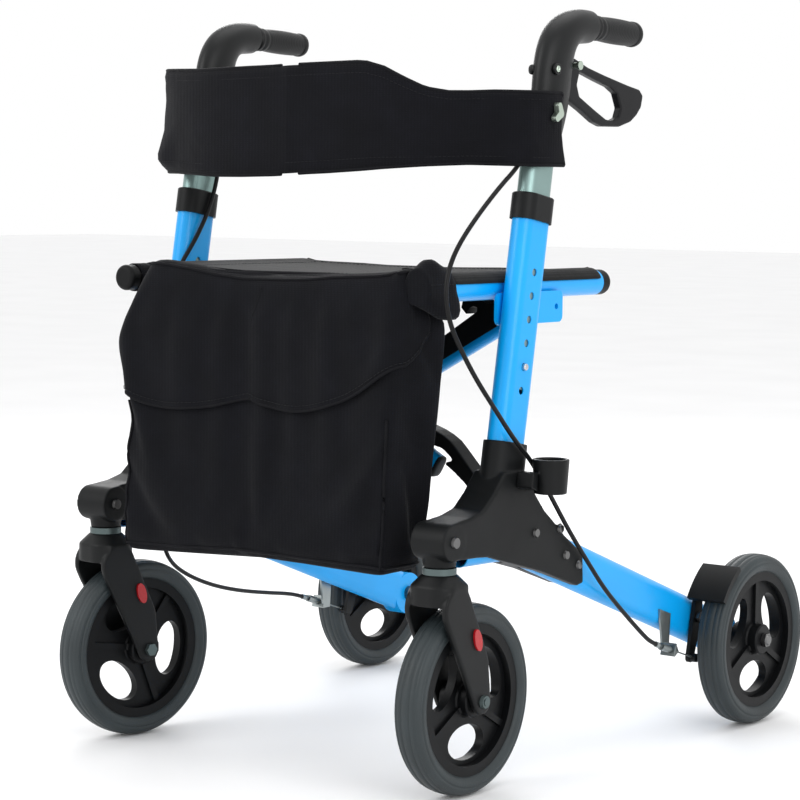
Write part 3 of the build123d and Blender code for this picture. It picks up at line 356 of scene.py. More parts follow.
# --------------------------------------------------------------------------- brake cables
LEFT_CABLE = [
    (239.0, -163.5, 660.5), (239.5, -178.0, 647.2), (240.4, -209.6, 627.7), (241.5, -254.0, 594.6),
    (242.0, -287.5, 563.5), (242.8, -302.5, 538.0), (244.3, -306.0, 513.0), (247.0, -301.5, 489.0),
    (252.0, -290.5, 464.5), (257.5, -271.0, 433.5), (260.5, -240.5, 400.5), (258.5, -203.0, 367.0),
    (256.6, -172.0, 345.0), (257.2, -153.5, 325.5), (259.4, -135.0, 302.0), (262.3, -104.0, 262.5),
    (262.6, -68.0, 226.0), (261.8, -31.0, 190.5), (260.6, 8.0, 161.0), (259.9, 49.0, 131.5), (259.6, 71.5, 116.8),
    (259.6, 92.8, 109.7),
]
RIGHT_CABLE = [
    (-219.4, -121.5, 665.5), (-218.0, -126.5, 646.5), (-217.3, -134.5, 619.0), (-217.3, -147.0, 592.5),
    (-218.6, -166.0, 563.0), (-221.8, -188.0, 535.0), (-222.7, -203.0, 505.0), (-219.5, -215.5, 468.0),
    (-213.5, -228.0, 420.0), (-209.0, -238.0, 366.0), (-207.6, -243.5, 314.0), (-208.5, -240.5, 270.0),
    (-212.5, -229.5, 234.0), (-224.0, -211.0, 207.0), (-235.0, -184.0, 184.5),
    (-238.5, -148.0, 166.0), (-241.5, -103.0, 150.0), (-246.0, -51.0, 137.5), (-251.0, 4.0, 128.0), (-256.0, 46.0, 121.5),
    (-259.6, 72.0, 116.0), (-259.6, 92.8, 109.7),
]


def cable(name, pts, base):
    cu = bpy.data.curves.new(name + "_line", "CURVE")
    cu.dimensions = "3D"
    cu.resolution_u = 10
    sp = cu.splines.new("NURBS")
    sp.points.add(len(pts) - 1)
    for p, q in zip(sp.points, pts):
        p.co = (q[0] * MM, q[1] * MM, q[2] * MM, 1)
    sp.order_u = 3
    sp.use_endpoint_u = True
    line = bpy.data.objects.new(name + "_line", cu)
    bpy.context.collection.objects.link(line)
    bpy.context.view_layer.update()
    dg = bpy.context.evaluated_depsgraph_get()
    bare = bpy.data.meshes.new_from_object(line.evaluated_get(dg))
    path = [v.co.copy() for v in bare.vertices]
    bpy.data.meshes.remove(bare)
    bpy.data.objects.remove(line)
    if (path[0] - Vector(pts[0]) * MM).length > (path[-1] - Vector(pts[0]) * MM).length:
        path.reverse()
    b = Builder()
    b.tube(path, 0.0025, 0, n=12)
    ob = b.build(name, [MAT["cable_black"]])
    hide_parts(base + "_brake_cable")
    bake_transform(ob)
    # metal end sleeve where the sheath enters the adjuster
    s = Builder()
    tail = (path[-1] - path[-4]).normalized()
    rows = []
    for t, r in ((-0.012, 0.0026), (-0.0118, 0.0033), (-0.001, 0.0033), (-0.0008, 0.0026)):
        c = path[-1] + tail * t
        side = tail.cross(Vector((1, 0, 0))).normalized()
        other = tail.cross(side)
        rows.append([c + (side * math.cos(k * math.pi / 8) + other * math.sin(k * math.pi / 8)) * r for k in range(16)])
    s.grid(rows, 0, close_u=True, close_v=True)
    sl = s.build(base + "_cable_ferrule", [MAT["adjuster_steel"]])
    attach(sl, base + "_frame")
    return ob


left_cable = cable("left_cable_sheath", LEFT_CABLE, "left")
right_cable = cable("right_cable_sheath", RIGHT_CABLE, "right")

# --------------------------------------------------------------------------- backrest strap, two padded halves
#         path point (x, y), top, bottom: the left half from the handle to the middle
PATH_L = [(260.2, -118), (260.3, -140), (257.8, -160), (250, -178), (229, -203), (182, -231), (110, -254), (0.05, -264)]
PATH_IN = [(255.6, -118), (255.6, -140), (252.4, -158), (242, -175.5), (221.5, -197.5), (176, -224.5), (107, -246), (0.05, -255)]
TOP_L = [(0, 755), (96, 757), (120, 750.5), (142, 739.5), (165, 729), (188, 725), (208, 725), (229, 726), (262, 726)]
BOT_L = [(0, 639.5), (24, 641), (48, 642), (96, 645), (120, 647), (165, 650), (208, 652), (262, 651)]
TOP_R = [(0, 755), (24, 754), (96, 753), (142, 752.5), (188, 754), (229, 755.5), (262, 757)]
BOT_R = [(0, 639.5), (24, 638.5), (72, 637.5), (120, 637.5), (165, 639.5), (208, 641), (262, 641)]


def catmull(pts, per):
    out = []
    P = [Vector((p[0], p[1], 0)) for p in pts]
    P = [P[0] * 2 - P[1]] + P + [P[-1] * 2 - P[-2]]
    for i in range(1, len(P) - 2):
        for k in range(per):
            t = k / per
            a, b, c, d = P[i - 1], P[i], P[i + 1], P[i + 2]
            out.append(0.5 * ((2 * b) + (c - a) * t + (2 * a - 5 * b + 4 * c - d) * t * t + (3 * b - a - 3 * c + d) * t ** 3))
    out.append(P[-2].copy())
    return out


# how far the strap stands out at its corners and free ends, by height: (z, mm)
FLARE_R = [(645, 1.0), (650, 8.0), (657, 11.0), (668, 7.5), (688, 2.0), (719, 0.0), (741, 1.0), (758, 3.5)]
END_L = [(651, 0.0), (668, -5.0), (686, -8.5), (705, -7.5), (722, -5.5)]


def shape_end(o, z, sign):
    """Moves the strap's cloth at a handle: the right corner flares low down, the left free end is waisted."""
    if sign < 0:
        w = smooth((abs(o.x) - 196) / 34) * smooth((-150 - o.y) / 22)
        n = Vector((0.62, -0.78, 0))
        return n * lerp_list(z, FLARE_R) * w
    w = smooth((o.y + 152) / 30)
    return Vector((0, 1, 0)) * lerp_list(z, END_L) * w


def strap(name, sign, top, bot, base):
    o_line = catmull(PATH_L, 9)
    i_line = catmull(PATH_IN, 9)
    n = len(o_line)
    b = Builder()
    rows = []
    NV = 18
    top_line, bot_line, st_top, st_bot, end_line = [], [], [], [], []
    for k in range(n):
        o, i = o_line[k], i_line[k]
        x = abs(o.x)
        zt, zb = lerp_list(x, top), lerp_list(x, bot)
        mid = (o + i) / 2
        d = (o - i) / 2
        half = d.length
        dn = d.normalized()
        near = smooth((k - 2) / 14)            # thin where it wraps the handle, padded from there on
        ring = []
        for j in range(NV * 2):
            if j < NV:
                v = j / (NV - 1)
                side = 1.0
            else:
                v = 1 - (j - NV) / (NV - 1)
                side = -1.0
            crown = max(0.0, 1 - abs(2 * v - 1) ** 7) ** 0.5
            puff = half * (0.32 + 0.68 * crown)
            wr = noise.noise(Vector((k * 0.23, v * 5.0, sign * 3.1))) * 0.9 + noise.noise(Vector((k * 0.07, v * 2.0, sign * 9.7))) * 1.1
            wr *= near * crown * (0.9 if side > 0 else 0.5) * smooth(x / 30)
            # quilting seams run along the pad a quarter in from its edges
            seam = sum(math.exp(-((v - s) / 0.018) ** 2) for s in (0.10, 0.90))
            puff -= seam * 1.3 * near
            p = mid + dn * (side * puff + (wr if side > 0 else wr * 0.5))
            z = zb + (zt - zb) * (v * 0.994 + 0.003)
            p = p + shape_end(o, z, sign)
            ring.append((p.x * sign, p.y, z))
        rows.append([Vector(q) * MM for q in ring])
        mt, mb = mid + shape_end(o, zt, sign), mid + shape_end(o, zb, sign)
        top_line.append(Vector((mt.x * sign, mt.y, zt)) * MM)
        bot_line.append(Vector((mb.x * sign, mb.y, zb)) * MM)
        for v, row in ((0.90, st_top), (0.10, st_bot)):
            q = mid + dn * (half * (0.32 + 0.68 * (1 - abs(2 * v - 1) ** 7) ** 0.5) - 0.6)
            q = q + shape_end(o, zb + (zt - zb) * v, sign)
            row.append(Vector((q.x * sign, q.y, zb + (zt - zb) * v)) * MM)
    b.grid(rows, 0, close_u=True, cap=True)
    b.tube(top_line[:-1], 0.0021, 1, n=8)
    b.tube(bot_line[:-1], 0.0021, 1, n=8)
    b.tube([(rows[0][j] + rows[0][2 * NV - 1 - j]) / 2 for j in range(NV)], 0.0021, 1, n=8)
    b.stitches(st_top, 0.0048, 0.0032, 0.00035, 2)
    b.stitches(st_bot, 0.0048, 0.0032, 0.00035, 2)
    ob = b.build(name, [MAT["strap_fabric"], TAPE, THREAD])
    lastring = set(range((n - 1) * NV * 2, n * NV * 2))
    for e in ob.data.edges:
        if e.vertices[0] in lastring and e.vertices[1] in lastring:
            e.use_edge_sharp = True
    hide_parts(base + "_backrest")
    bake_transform(ob)
    return ob


strap("left_strap_pad", 1, TOP_L, BOT_L, "left")
strap("right_strap_pad", -1, TOP_R, BOT_R, "right")

# --------------------------------------------------------------------------- seat sling
RX, RZ = 205.0, 523.0


def seat():
    prof = []
    for a in (16, 30, 45, 60, 75, 90, 102):
        prof.append((RX + 15.9 * math.cos(math.radians(a)), RZ + 15.9 * math.sin(math.radians(a))))
    for x in (190, 170, 145, 115, 80, 40):
        prof.append((x, 536.6 - 4.6 * (1 - (x / 196.0) ** 2) ** 0.8))
    full = prof + [(0.0, 532.0)] + [(-x, z) for x, z in reversed(prof)]
    ys = [-258 + 276 * k / 30 for k in range(31)]
    rows = []
    for y in ys:
        r = []
        for (x, z) in full:
            inner = smooth((188 - abs(x)) / 60)
            w = noise.noise(Vector((x * 0.014, y * 0.010, 1.7))) * 1.5 + noise.noise(Vector((x * 0.004, y * 0.05, 5.0))) * 0.8
            endf = smooth(min(y + 258, 18 - y) / 40)
            r.append(Vector((x, y, z + w * inner + (1.0 - endf) * 1.2 * inner)) * MM)
        rows.append(r)
    b = Builder()
    b.grid(rows, 0)
    ob = b.build("seat_cloth", [MAT["seat_fabric"], TAPE, THREAD])
    m = ob.modifiers.new("thick", "SOLIDIFY")
    m.thickness = 0.0017
    m.offset = 0
    m2 = ob.modifiers.new("smooth", "SUBSURF")
    m2.levels = m2.render_levels = 1
    apply_modifiers(ob)
    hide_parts("seat_sling")
    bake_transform(ob)
    # hems at both ends, and stitching beside each rail
    h = Builder()
    for k in (0, len(rows) - 1):
        h.tube([p + Vector((0, 0, -0.0018)) for p in rows[k][6:-6]], 0.0034, 0, n=10)
    for yk in (2, len(rows) - 3):
        h.stitches([p + Vector((0, 0, 0.0010)) for p in rows[yk][7:-7]], 0.006, 0.004, 0.0004, 1)
    for c in (8, len(full) - 9):
        h.stitches([r[c] + Vector((0, 0, 0.0010)) for r in rows], 0.006, 0.004, 0.0004, 1)
    hem = h.build("seat_hem", [TAPE, THREAD])
    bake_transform(hem)


seat()

# --------------------------------------------------------------------------- storage bag
TOPZ = [(-190, 520), (-178, 528), (-168, 535), (-157, 539.5), (-140, 539.5), (-100, 535), (-60, 529.5), (-21, 526), (30, 526.5), (65, 528), (98, 531), (140, 533),
        (168, 535), (186, 539), (205, 541)]
BOTZ = [(-190, -5), (-100, -1), (-15, 4), (80, 3), (160, 1), (190, -1)]
FRONT_L = [(222, 184), (283, 183), (330, 180.5), (390, 178), (412, 179), (426, 183.5), (444, 189), (461, 191), (482, 188), (504, 178), (513, 170), (528, 163), (540, 158)]
FRONT_R = [(222, 175), (300, 183), (400, 187), (480, 191), (504, 192), (540, 190)]
REAR = [(222, 171), (281, 186), (324, 191), (378, 198), (453, 207), (488, 212), (500, 212), (508, 190), (515, 186), (540, 184)]
YFRONT = [(222, -317), (250, -321), (330, -324), (420, -323), (480, -320), (515, -313), (540, -305)]
YREAR = [(222, -250), (260, -247), (450, -247), (490, -249), (502, -254), (515, -262), (540, -262)]


def bag_ring(z, grow=0.0):
    """Rounded outline of the bag at height z, from the back of its right side round the front, then along the back."""
    xl, xr = -lerp_list(z, FRONT_L) - grow, lerp_list(z, FRONT_R) + grow
    xb = lerp_list(z, REAR) + grow
    yf, yb = lerp_list(z, YFRONT) - grow, lerp_list(z, YREAR) + grow * 0.3
    r = lerp_list(z, [(222, 6), (300, 9), (450, 14), (540, 17)])
    c = [Vector((-xb, yb, 0)), Vector((xl, yf, 0)), Vector((xr, yf, 0)), Vector((xb, yb, 0))]
    pts = []

    def corner(k, n=6):
        here, a, b = c[k], c[k - 1], c[(k + 1) % 4]
        p, q = here + (a - here).normalized() * r, here + (b - here).normalized() * r
        return [p * (1 - t) ** 2 + here * 2 * t * (1 - t) + q * t * t for t in (i / (n - 1) for i in range(n))]

    rounds = [corner(k) for k in range(4)]

    def run(a, b, n):
        return [a.lerp(b, (k + 1) / (n + 1)) for k in range(n)]

    pts += [rounds[0][-1]] + run(rounds[0][-1], rounds[1][0], 4)
    pts += rounds[1] + run(rounds[1][-1], rounds[2][0], 39) + rounds[2]
    pts += run(rounds[2][-1], rounds[3][0], 5)
    front_end = len(pts)
    pts += rounds[3] + run(rounds[3][-1], rounds[0][0], 19) + rounds[0][:-1]
    return [(p.x, p.y) for p in pts], front_end


def top_shift(x, y, z):
    w = smooth((z - 430) / 105.0)
    wb = smooth((300 - z) / 72.0)
    return z + (lerp_list(x, TOPZ) - 540) * w + lerp_list(x, BOTZ) * wb


def bag():
    levels = [227.5, 229.5, 233, 243, 256, 268, 282, 297, 312, 328, 344, 360, 376, 392, 408, 424, 440, 455, 470, 485, 498, 510, 521, 531, 540]
    rows = []
    for i, z in enumerate(levels):
        pts, fe = bag_ring(z)
        row = []
        inset = {0: 5.0, 1: 2.2, 2: 0.7}.get(i, 0.0)
        for (x, y) in pts:
            cx, cy = 0.0, -286.0
            if inset:
                x -= math.copysign(min(inset, abs(x)), x) * (1 if abs(x) > 160 else 0)
                y -= math.copysign(inset, y - cy) * (1 if abs(y - cy) > 20 else 0)
            zz = top_shift(x, y, z)
            if y > -262 and zz > 524:
                zz = 524
            row.append(Vector((x, y, zz)) * MM)
        rows.append(row)
    b = Builder()
    b.grid(rows, 0, close_u=True, cap=True)
    ob = b.build("storage_bag_shell", [MAT["bag_fabric"], TAPE, THREAD])
    bm = bmesh.new()
    bm.from_mesh(ob.data)
    # open fan caps become quads-friendly poke faces
    bmesh.ops.subdivide_edges(bm, edges=[e for e in bm.edges if e.calc_length() > 0.05], cuts=3, use_grid_fill=True)
    bmesh.ops.triangulate(bm, faces=[f for f in bm.faces if len(f.verts) > 4])
    bm.to_mesh(ob.data)
    bm.free()
    rest = [v.co.copy() for v in ob.data.vertices]
    g = ob.vertex_groups.new(name="pin")
    for v in ob.data.vertices:
        c = v.co
        hold = 0.0
        if c.z > 0.505:
            hold = smooth((c.z - 0.505) / 0.012)
        if c.z < 0.243:
            hold = max(hold, smooth((0.243 - c.z) / 0.010))
        if abs(c.x) > 0.176 and c.y < -0.300:
            hold = max(hold, 0.55)
        g.add([v.index], hold, "REPLACE")
    m = ob.modifiers.new("cloth", "CLOTH")
    s = m.settings
    s.quality = 6
    s.mass = 0.35
    s.tension_stiffness = s.compression_stiffness = 12
    s.shear_stiffness = 6
    s.bending_stiffness = 1.2
    s.vertex_group_mass = "pin"
    s.pin_stiffness = 1.0
    s.use_pressure = True
    s.uniform_pressure_force = 0.9
    s.shrink_min = -0.03
    m.collision_settings.use_collision = False
    m.collision_settings.use_self_collision = False
    m.point_cache.frame_start, m.point_cache.frame_end = 1, 26
    for f in range(1, 26):
        bpy.context.scene.frame_set(f)
    dg = bpy.context.evaluated_depsgraph_get()
    ev = ob.evaluated_get(dg)
    got = [v.co.copy() for v in ev.data.vertices]
    ob.modifiers.clear()
    bpy.context.scene.frame_set(1)
    cap = 0.011
    for v, r0, g1 in zip(ob.data.vertices, rest, got):
        d = g1 - r0
        if d.length > cap:
            d = d.normalized() * cap
        v.co = r0 + d
    # creases: long soft diagonal folds, and shallow sag lines near the bottom
    for v in ob.data.vertices:
        c = v.co
        x, y, z = c.x * 1000, c.y * 1000, c.z * 1000
        n1 = noise.noise(Vector((x * 0.010 + z * 0.006, y * 0.01, z * 0.016)))
        n2 = noise.noise(Vector((x * 0.028 - z * 0.012, 3.0 + y * 0.02, z * 0.030)))
        amt = (2.6 * n1 + 1.1 * n2) * smooth((z - 234) / 25) * smooth((538 - z) / 30)
        if y < -300:
            c.y -= amt * MM
        elif abs(x) > 170:
            c.x += math.copysign(amt * 0.8, x) * MM
    m2 = ob.modifiers.new("smooth", "SUBSURF")
    m2.levels = m2.render_levels = 1
    apply_modifiers(ob)
    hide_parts("storage_bag")
    return ob


bag_ob = bag()
bpy.context.view_layer.update()
tree = BVHTree.FromPolygons([v.co.copy() for v in bag_ob.data.vertices], [tuple(p.vertices) for p in bag_ob.data.polygons])

FLAP = [(-190, 404), (-178, 399), (-160, 391), (-144, 387.5), (-122, 385.5), (-100, 386), (-75, 388), (-49, 392), (-25, 398), (-9, 401.5), (8, 397), (35, 392.5), (56, 391.5), (76, 393),
        (100, 398), (129, 408), (150, 418), (168, 429), (184, 441), (200, 452)]


def surface(p, out):
    """The bag's skin at p, looked for along the outward direction."""
    hit = tree.ray_cast(p + out * 0.03, -out, 0.08)
    return hit[0] if hit[0] is not None else p


def flap():
    b = Builder()
    ncol = None
    cols = []
    ref, fe = bag_ring(430)
    ref_top, _ = bag_ring(540)
    for c in range(2, fe - 1):
        x, y = ref[c]
        side = abs(x) > 180 and y > -306
        zl = lerp_list(x, FLAP)
        if side:
            zl += (y + 306) * 0.9
        col = []
        zt = 540.0
        for k in range(19):
            t = k / 18
            z = zt + (zl - zt) * t
            pts, _ = bag_ring(max(z, 231))
            px, py = pts[c]
            # outward direction from the ring's neighbours
            ax, ay = pts[max(c - 1, 0)]
            bx, by = pts[min(c + 1, len(pts) - 1)]
            out = Vector((by - ay, -(bx - ax), 0))
            out.normalize()
            zz = top_shift(px, py, z)
            p = Vector((px, py, zz)) * MM
            s = surface(p, out)
            lobe = 0.0
            if -178 < px < -9:
                lobe = math.sin(math.pi * (px + 178) / 169)
            elif -9 <= px < 184:
                lobe = math.sin(math.pi * (px + 9) / 193)
            puff = 3.2 + 3.4 * max(lobe, 0) ** 0.6 * smooth(t * 2.0) * (1 - 0.35 * smooth((t - 0.8) / 0.2))
            wr = 1.5 * noise.noise(Vector((px * 0.02, zz * 0.018, 7.0))) + 0.8 * noise.noise(Vector((px * 0.05 + zz * 0.02, zz * 0.05, 2.0)))
            col.append(s + out * (puff + max(-1.2, wr) * smooth(t * 4)) * MM)
        # over the top edge and back to the seat
        tp = col[0]
        x0 = tp.x
        back_y = -0.262
        lead = [Vector((x0 * 0.985, back_y, min(tp.z + 0.001, 0.5275))),
                Vector((x0 * 0.988, tp.y * 0.45 + back_y * 0.55, tp.z + 0.0035)),
                Vector((x0 * 0.994, tp.y * 0.78 + back_y * 0.22, tp.z + 0.0036))]
        if side:
            lead = [Vector((x0 * 0.90, tp.y, tp.z + 0.0030)), Vector((x0 * 0.95, tp.y, tp.z + 0.0034)), Vector((x0 * 0.985, tp.y, tp.z + 0.0026))]
        cols.append(lead + col)
    b.grid(cols, 0)
    ob = b.build("bag_flap", [MAT["bag_fabric"]])
    area = sum(p.area for p in ob.data.polygons)
    m = ob.modifiers.new("thick", "SOLIDIFY")
    m.thickness = 0.0018
    m.offset = 1
    m2 = ob.modifiers.new("smooth", "SUBSURF")
    m2.levels = m2.render_levels = 1
    apply_modifiers(ob)
    trim = Builder()
    edge = [c[-1] for c in cols]
    trim.tube(edge, 0.0019, 0, n=8)
    trim.stitches([c[-2].lerp(c[-1], 0.35) + (c[-1] - tree.find_nearest(c[-1])[0]).normalized() * 0.0022 for c in cols], 0.0050, 0.0034, 0.0004, 1)
    # centre seam of the flap
    mid = min(range(len(cols)), key=lambda i: abs(cols[i][10].x + 0.009))
    trim.tube([p + Vector((0, -0.0012, 0)) for p in cols[mid][4:]], 0.0011, 0, n=6)
    # piping round the top edge
    trim.tube([c[3] + Vector((0, 0, 0.0012)) for c in cols], 0.0017, 0, n=8)
    tr = trim.build("bag_flap_trim", [TAPE, THREAD])
    return ob, tr, area


flap_ob, flap_trim, flap_area = flap()


def bag_trim():
    b = Builder()
    for idx in (8, 52):
        line = []
        for z in range(234, 396, 6):
            pts, _ = bag_ring(z)
            x, y = pts[idx]
            out = Vector((math.copysign(0.7, x), -0.7, 0)).normalized()
            s = surface(Vector((x, y, top_shift(x, y, z))) * MM, out)
            line.append(s + out * 0.0008)
        b.tube(line, 0.0016, 0, n=8)
    # piping round the bottom panel
    pts, _ = bag_ring(236)
    loop = []
    for (x, y) in pts:
        out = Vector((x / 184.0 * 0.3, (y + 286) / 38.0, 0))
        if abs(x) > 170:
            out = Vector((math.copysign(1, x), (y + 286) / 60.0, 0))
        out.normalize()
        s = surface(Vector((x, y, top_shift(x, y, 236))) * MM, out)
        loop.append(s + out * 0.0006)
    b.tube(loop, 0.0016, 0, n=8, closed=True)
    ob = b.build("bag_piping", [TAPE, THREAD])
    return ob


piping = bag_trim()

for piece in (bag_ob, flap_ob, flap_trim, piping):
    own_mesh(piece)
    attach(piece, "bag")


def loops():
    """Hanging loops that carry the bag on the front of each rail. The left one is a loose sock over the knob, with a tail outside the rail."""
    for sign, base, body in ((1, "left", "brace_b"), (-1, "right", "brace_a")):
        b = Builder()
        rows = []
        loose = sign > 0
        ys = [-303.4, -302.6, -299, -292, -285, -278, -270, -263, -257, -256] if loose else [-284.5, -283.5, -277, -270, -263.5, -262.5]
        n = 40
        for iy, y in enumerate(ys):
            ring = []
            t = iy / (len(ys) - 1)
            for k in range(n):
                deg = -90 + k * 360 / n
                a = math.radians(deg)
                r = 16.4 + 0.7 * noise.noise(Vector((k * 0.45, y * 0.05, sign)))
                if loose:
                    r += (3.0 + 10.5 * math.exp(-((y + 282) / 15.0) ** 2) + 2.5 * t) * math.exp(-(((deg - 94) / 40.0)) ** 2)
                    # the tail hangs outside the rail and tucks back against the bag
                    r += 19.0 * smooth(t * 1.6) * math.exp(-(((deg + 60) / 30.0)) ** 2)
                else:
                    r = 15.6 + 0.4 * noise.noise(Vector((k * 0.45, y * 0.05, sign)))
                if iy in (0, len(ys) - 1):
                    r -= 1.0
                ring.append(Vector((sign * (RX + r * math.cos(a)), y, RZ + r * math.sin(a))) * MM)
            rows.append(ring)
        if loose:
            # closed front end over the knob
            front = rows[0]
            c = sum(front, Vector()) / len(front)
            rows = [[c.lerp(p, f) + Vector((0, -0.0012 * (1 - f), 0)) for p in front] for f in (0.02, 0.35, 0.65, 0.85, 0.96)] + rows
        inner = []
        for y in (reversed(ys) if not loose else [-256, -262]):
            inner.append([Vector((sign * (RX + 14.45 * math.cos(math.radians(-90 + k * 360 / n))), y, RZ + 14.45 * math.sin(math.radians(-90 + k * 360 / n)))) * MM for k in range(n)])
        b.grid(rows + inner, 0, close_u=True, close_v=not loose)
        b.stitches([r[28] for r in rows[-8:-1]], 0.004, 0.0028, 0.0004, 1)
        b.stitches([r[12] for r in rows[-8:-1]], 0.004, 0.0028, 0.0004, 1)
        ob = b.build(base + "_bag_loop", [MAT["bag_fabric"], THREAD])
        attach(ob, body)


loops()


# --------------------------------------------------------------------------- grips
def grip(sign, base):
    a = Vector((238.0 * sign, -45.0, 799.8)) * MM
    d = Vector((238.0 * sign, 46.0, 796.18)) * MM - a
    L = d.length
    t = d.normalized()
    s = Vector((1, 0, 0))
    q = s.cross(t)
    prof = [(0.0006, 0.0093), (0.0006, 0.0118), (0.0020, 0.0124), (0.0038, 0.0127), (0.0048, 0.0140), (0.0060, 0.0146), (0.0078, 0.0146), (0.0090, 0.0139),
            (0.0102, 0.0128), (0.0122, 0.0126), (0.0140, 0.0135), (0.0158, 0.0139), (0.0176, 0.0134), (0.0194, 0.0128), (0.0210, 0.0129)]
    n = 60
    u0, u1 = 0.0225, L - 0.0075
    for k in range(n + 1):
        w = k / n
        rib = 0.00016 * (1 if (k % 3) == 1 else -1) * smooth(min(w, 1 - w) * 14)
        prof.append((u0 + (u1 - u0) * w, 0.0133 + 0.0009 * math.sin(math.pi * w) ** 0.8 + rib))
    prof += [(L - 0.0070, 0.0139), (L - 0.0062, 0.0143), (L - 0.0030, 0.0143), (L - 0.0012, 0.0136), (L - 0.0003, 0.0120), (L, 0.0100), (L - 0.0003, 0.0088), (L - 0.0014, 0.0084), (L - 0.0016, 0.0060), (L - 0.0016, 0.0020)]
    rows = []
    for u, r in prof:
        c = a + t * u
        ring = []
        for k in range(48):
            th = 2 * math.pi * k / 48
            under = max(0.0, -math.sin(th)) ** 3 * 0.0005      # a little flatter below
            ring.append(c + (s * math.cos(th) * r + q * math.sin(th) * (r - under)))
        rows.append(ring)
    b = Builder()
    b.grid(rows, 0, close_u=True, cap=True)
    ob = b.build(base + "_grip_sleeve", [MAT["grip_rubber"]])
    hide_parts(base + "_grip")
    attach(ob, base + "_handle_unit")


def turned(b, centre, axis, profile, mat=0, n=24):
    """A turned shape: profile is (along, radius) pairs in millimetres from centre along axis."""
    c, ax = Vector(centre) * MM, Vector(axis).normalized()
    s = ax.cross(Vector((0, 0, 1))).normalized()
    q = s.cross(ax)
    rows = [[c + ax * (u * MM) + (s * math.cos(2 * math.pi * k / n) + q * math.sin(2 * math.pi * k / n)) * (r * MM) for k in range(n)] for u, r in profile]
    b.grid(rows, mat, close_u=True, cap=True)


def housing_details(sign, base):
    b = Builder()
    # pan-head screw on the outer face, in a shallow collar, and the clamp's barrel on the front
    turned(b, (sign * 252.5, -127.0, 751.5), (sign, 0, 0), [(0, 6.2), (2.6, 6.2), (3.2, 5.6), (3.2, 4.5), (2.6, 4.2)], 0)
    turned(b, (sign * 254.0, -127.0, 751.5), (sign, 0, 0), [(0, 3.9), (1.6, 3.9), (2.4, 3.2), (2.6, 2.0), (1.2, 1.8), (1.2, 0.4)], 1, 6)
    turned(b, (sign * 231.0, -128.0, 751.0), (sign * -0.45, -0.89, 0), [(0, 5.4), (8.5, 5.4), (9.6, 4.8), (10.0, 3.6)], 0)
    ob = b.build(base + "_housing_details", [MAT["housing_black"], MAT["screw_silver"]])
    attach(ob, base + "_handle_unit")


grip(1, "left")
grip(-1, "right")
housing_details(1, "left")
housing_details(-1, "right")


# --------------------------------------------------------------------------- moulded parts: their edges rounded over
def moulded(node, body, voxel, rounds):
    ob = bpy.data.objects.new(node + "_moulding", nodes[node].data.copy())
    bpy.context.collection.objects.link(ob)
    m = ob.modifiers.new("voxel", "REMESH")
    m.mode = "VOXEL"
    m.voxel_size = voxel
    m2 = ob.modifiers.new("round", "SMOOTH")
    m2.factor = 0.5
    m2.iterations = rounds
    apply_modifiers(ob)
    ob.data.materials.clear()
    ob.data.materials.append(MAT[slot_of[node]])
    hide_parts(node)
    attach(ob, body)
    return ob


for sd in ("left", "right"):
    moulded(sd + "_caster_fork", sd + "_caster", 0.0013, 9)
    moulded(sd + "_frame_joint", sd + "_frame", 0.0013, 6)
    moulded(sd + "_brake_lever", sd + "_lever", 0.0009, 9)
moulded("brace_foot_a", "brace_a", 0.0013, 7)
moulded("brace_foot_b", "brace_b", 0.0013, 7)
moulded("cane_cup", "left_frame", 0.0008, 4)


# --------------------------------------------------------------------------- plugs in the open ends of the cross brace tubes
def arm_plugs(node, body):
    import numpy as np
    co = np.array([v.co[:] for v in nodes[node].data.vertices])
    mid = (co.max(0) + co.min(0)) / 2
    flat = co - mid
    w, vec = np.linalg.eigh(flat.T @ flat)
    ax = Vector(vec[:, 2])
    if ax.z < 0:
        ax = -ax
    t = flat @ np.array(ax[:])
    yy = Vector((0, 1, 0))
    zz = ax.cross(yy).normalized()
    b = Builder()
    for end, sgn in ((t.min(), -1), (t.max(), 1)):
        near = flat[np.abs(t - end) < 0.004]
        c = Vector(mid) + Vector(((near.max(0) + near.min(0)) / 2).tolist())
        c += ax * (end - (c - Vector(mid)).dot(ax))
        hy = (near[:, 1].max() - near[:, 1].min()) / 2
        hz = 0.013
        rows = []
        for u, g in ((-0.010, -0.0021), (0.0, -0.0021), (0.0, -0.0003), (0.0022, -0.0003), (0.0034, -0.0014), (0.0038, -0.0045)):
            ring = []
            for k in range(32):
                a = 2 * math.pi * k / 32
                px = math.copysign(abs(math.cos(a)) ** 0.55, math.cos(a)) * (hy + g)
                pz = math.copysign(abs(math.sin(a)) ** 0.55, math.sin(a)) * (hz + g)
                ring.append(c + ax * (sgn * u) + yy * px + zz * pz)
            rows.append(ring)
        b.grid(rows, 0, close_u=True, cap=True)
    ob = b.build(node + "_plugs", [MAT["black_plastic"]])
    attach(ob, body)


arm_plugs("brace_arm_a", "brace_a")
arm_plugs("brace_arm_b", "brace_b")


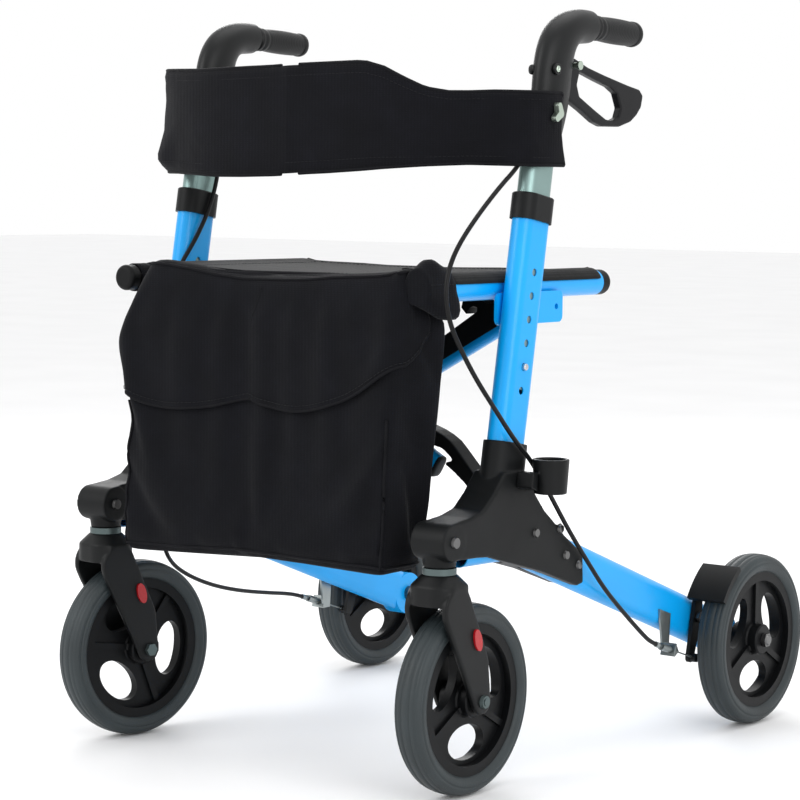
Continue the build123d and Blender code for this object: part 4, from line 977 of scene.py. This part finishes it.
# --------------------------------------------------------------------------- tyres with a moulded tread
def tyre(node, base, body):
    lo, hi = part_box(node)
    c = (lo + hi) / 2
    w, ax = 17.0, Vector((1, 0, 0))
    if base == "right_front":
        ang = math.radians(-7.4)
        ax = Vector((math.cos(ang), math.sin(ang), 0))
    up_ = Vector((0, 0, 1))
    side = ax.cross(up_).normalized()
    R0 = 100.0
    prof = [(-13, 79.6), (-15.2, 82.0), (-16.6, 85.0), (-17.0, 88.0), (-16.9, 89.4), (-16.2, 90.0), (-16.2, 91.0), (-16.6, 91.6), (-16.0, 94.2), (-14.4, 96.6),
            (-12.2, 98.2), (-11.2, 98.0), (-10.4, 98.0), (-9.6, 98.9), (-6.0, 99.6), (-5.2, 99.0), (-4.4, 99.0), (-3.6, 99.85), (0, 99.95)]
    prof = prof + [(-x, r) for x, r in reversed(prof[:-1])]
    n = 120
    rows = []
    for k in range(n):
        th = 2 * math.pi * k / n
        e = side * math.cos(th) + up_ * math.sin(th)
        rows.append([c + (ax * x + e * r) * MM for x, r in prof])
    b = Builder()
    b.grid(rows, 0, close_u=True, close_v=True)
    ob = b.build(base + "_tyre_tread", [MAT["tyre_grey"]])
    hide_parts(node)
    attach(ob, body)


for sd in ("left", "right"):
    tyre(sd + "_rear_tyre", sd + "_rear", sd + "_rear_wheel")
    tyre(sd + "_front_tyre", sd + "_front", sd + "_front_wheel")

# --------------------------------------------------------------------------- floor, light
floor_mat, nt, bsdf, coord = new_material("studio floor")
n = noise_node(nt, coord, 3.0, 2.0)
c = ramp(nt, n.outputs["Fac"], [(0.3, (0.90, 0.90, 0.905)), (0.7, (0.93, 0.93, 0.935))])
nt.links.new(c.outputs["Color"], bsdf.inputs["Base Color"])
bsdf.inputs["Roughness"].default_value = 0.75
bpy.ops.mesh.primitive_plane_add(size=40, location=(0, 0, -0.0006))
floor = bpy.context.object
floor.name = "studio_floor"
floor.data.materials.append(floor_mat)

world = bpy.data.worlds.new("studio")
bpy.context.scene.world = world
world.use_nodes = True
bg = world.node_tree.nodes["Background"]
bg.inputs["Color"].default_value = (1.0, 1.0, 1.0, 1)
bg.inputs["Strength"].default_value = 1.0


def area(name, loc, target, size, power, colour=(1, 1, 1)):
    d = bpy.data.lights.new(name, "AREA")
    d.shape = "RECTANGLE"
    d.size = size[0]
    d.size_y = size[1]
    d.energy = power
    d.color = colour
    o = bpy.data.objects.new(name, d)
    bpy.context.collection.objects.link(o)
    o.location = loc
    o.rotation_euler = (Vector(target) - Vector(loc)).to_track_quat("-Z", "Y").to_euler()
    return o


area("key", (-1.6, -3.2, 2.4), (0, 0, 0.4), (1.8, 1.8), 46)
area("fill", (3.0, -1.4, 1.5), (0, 0, 0.4), (1.6, 2.0), 30)
area("top", (0.2, 0.6, 3.2), (0, 0, 0.3), (2.4, 2.4), 26)
area("rim", (-2.2, 2.4, 1.8), (0, 0, 0.5), (1.4, 1.6), 26)
bpy.context.scene.view_settings.view_transform = "Standard"
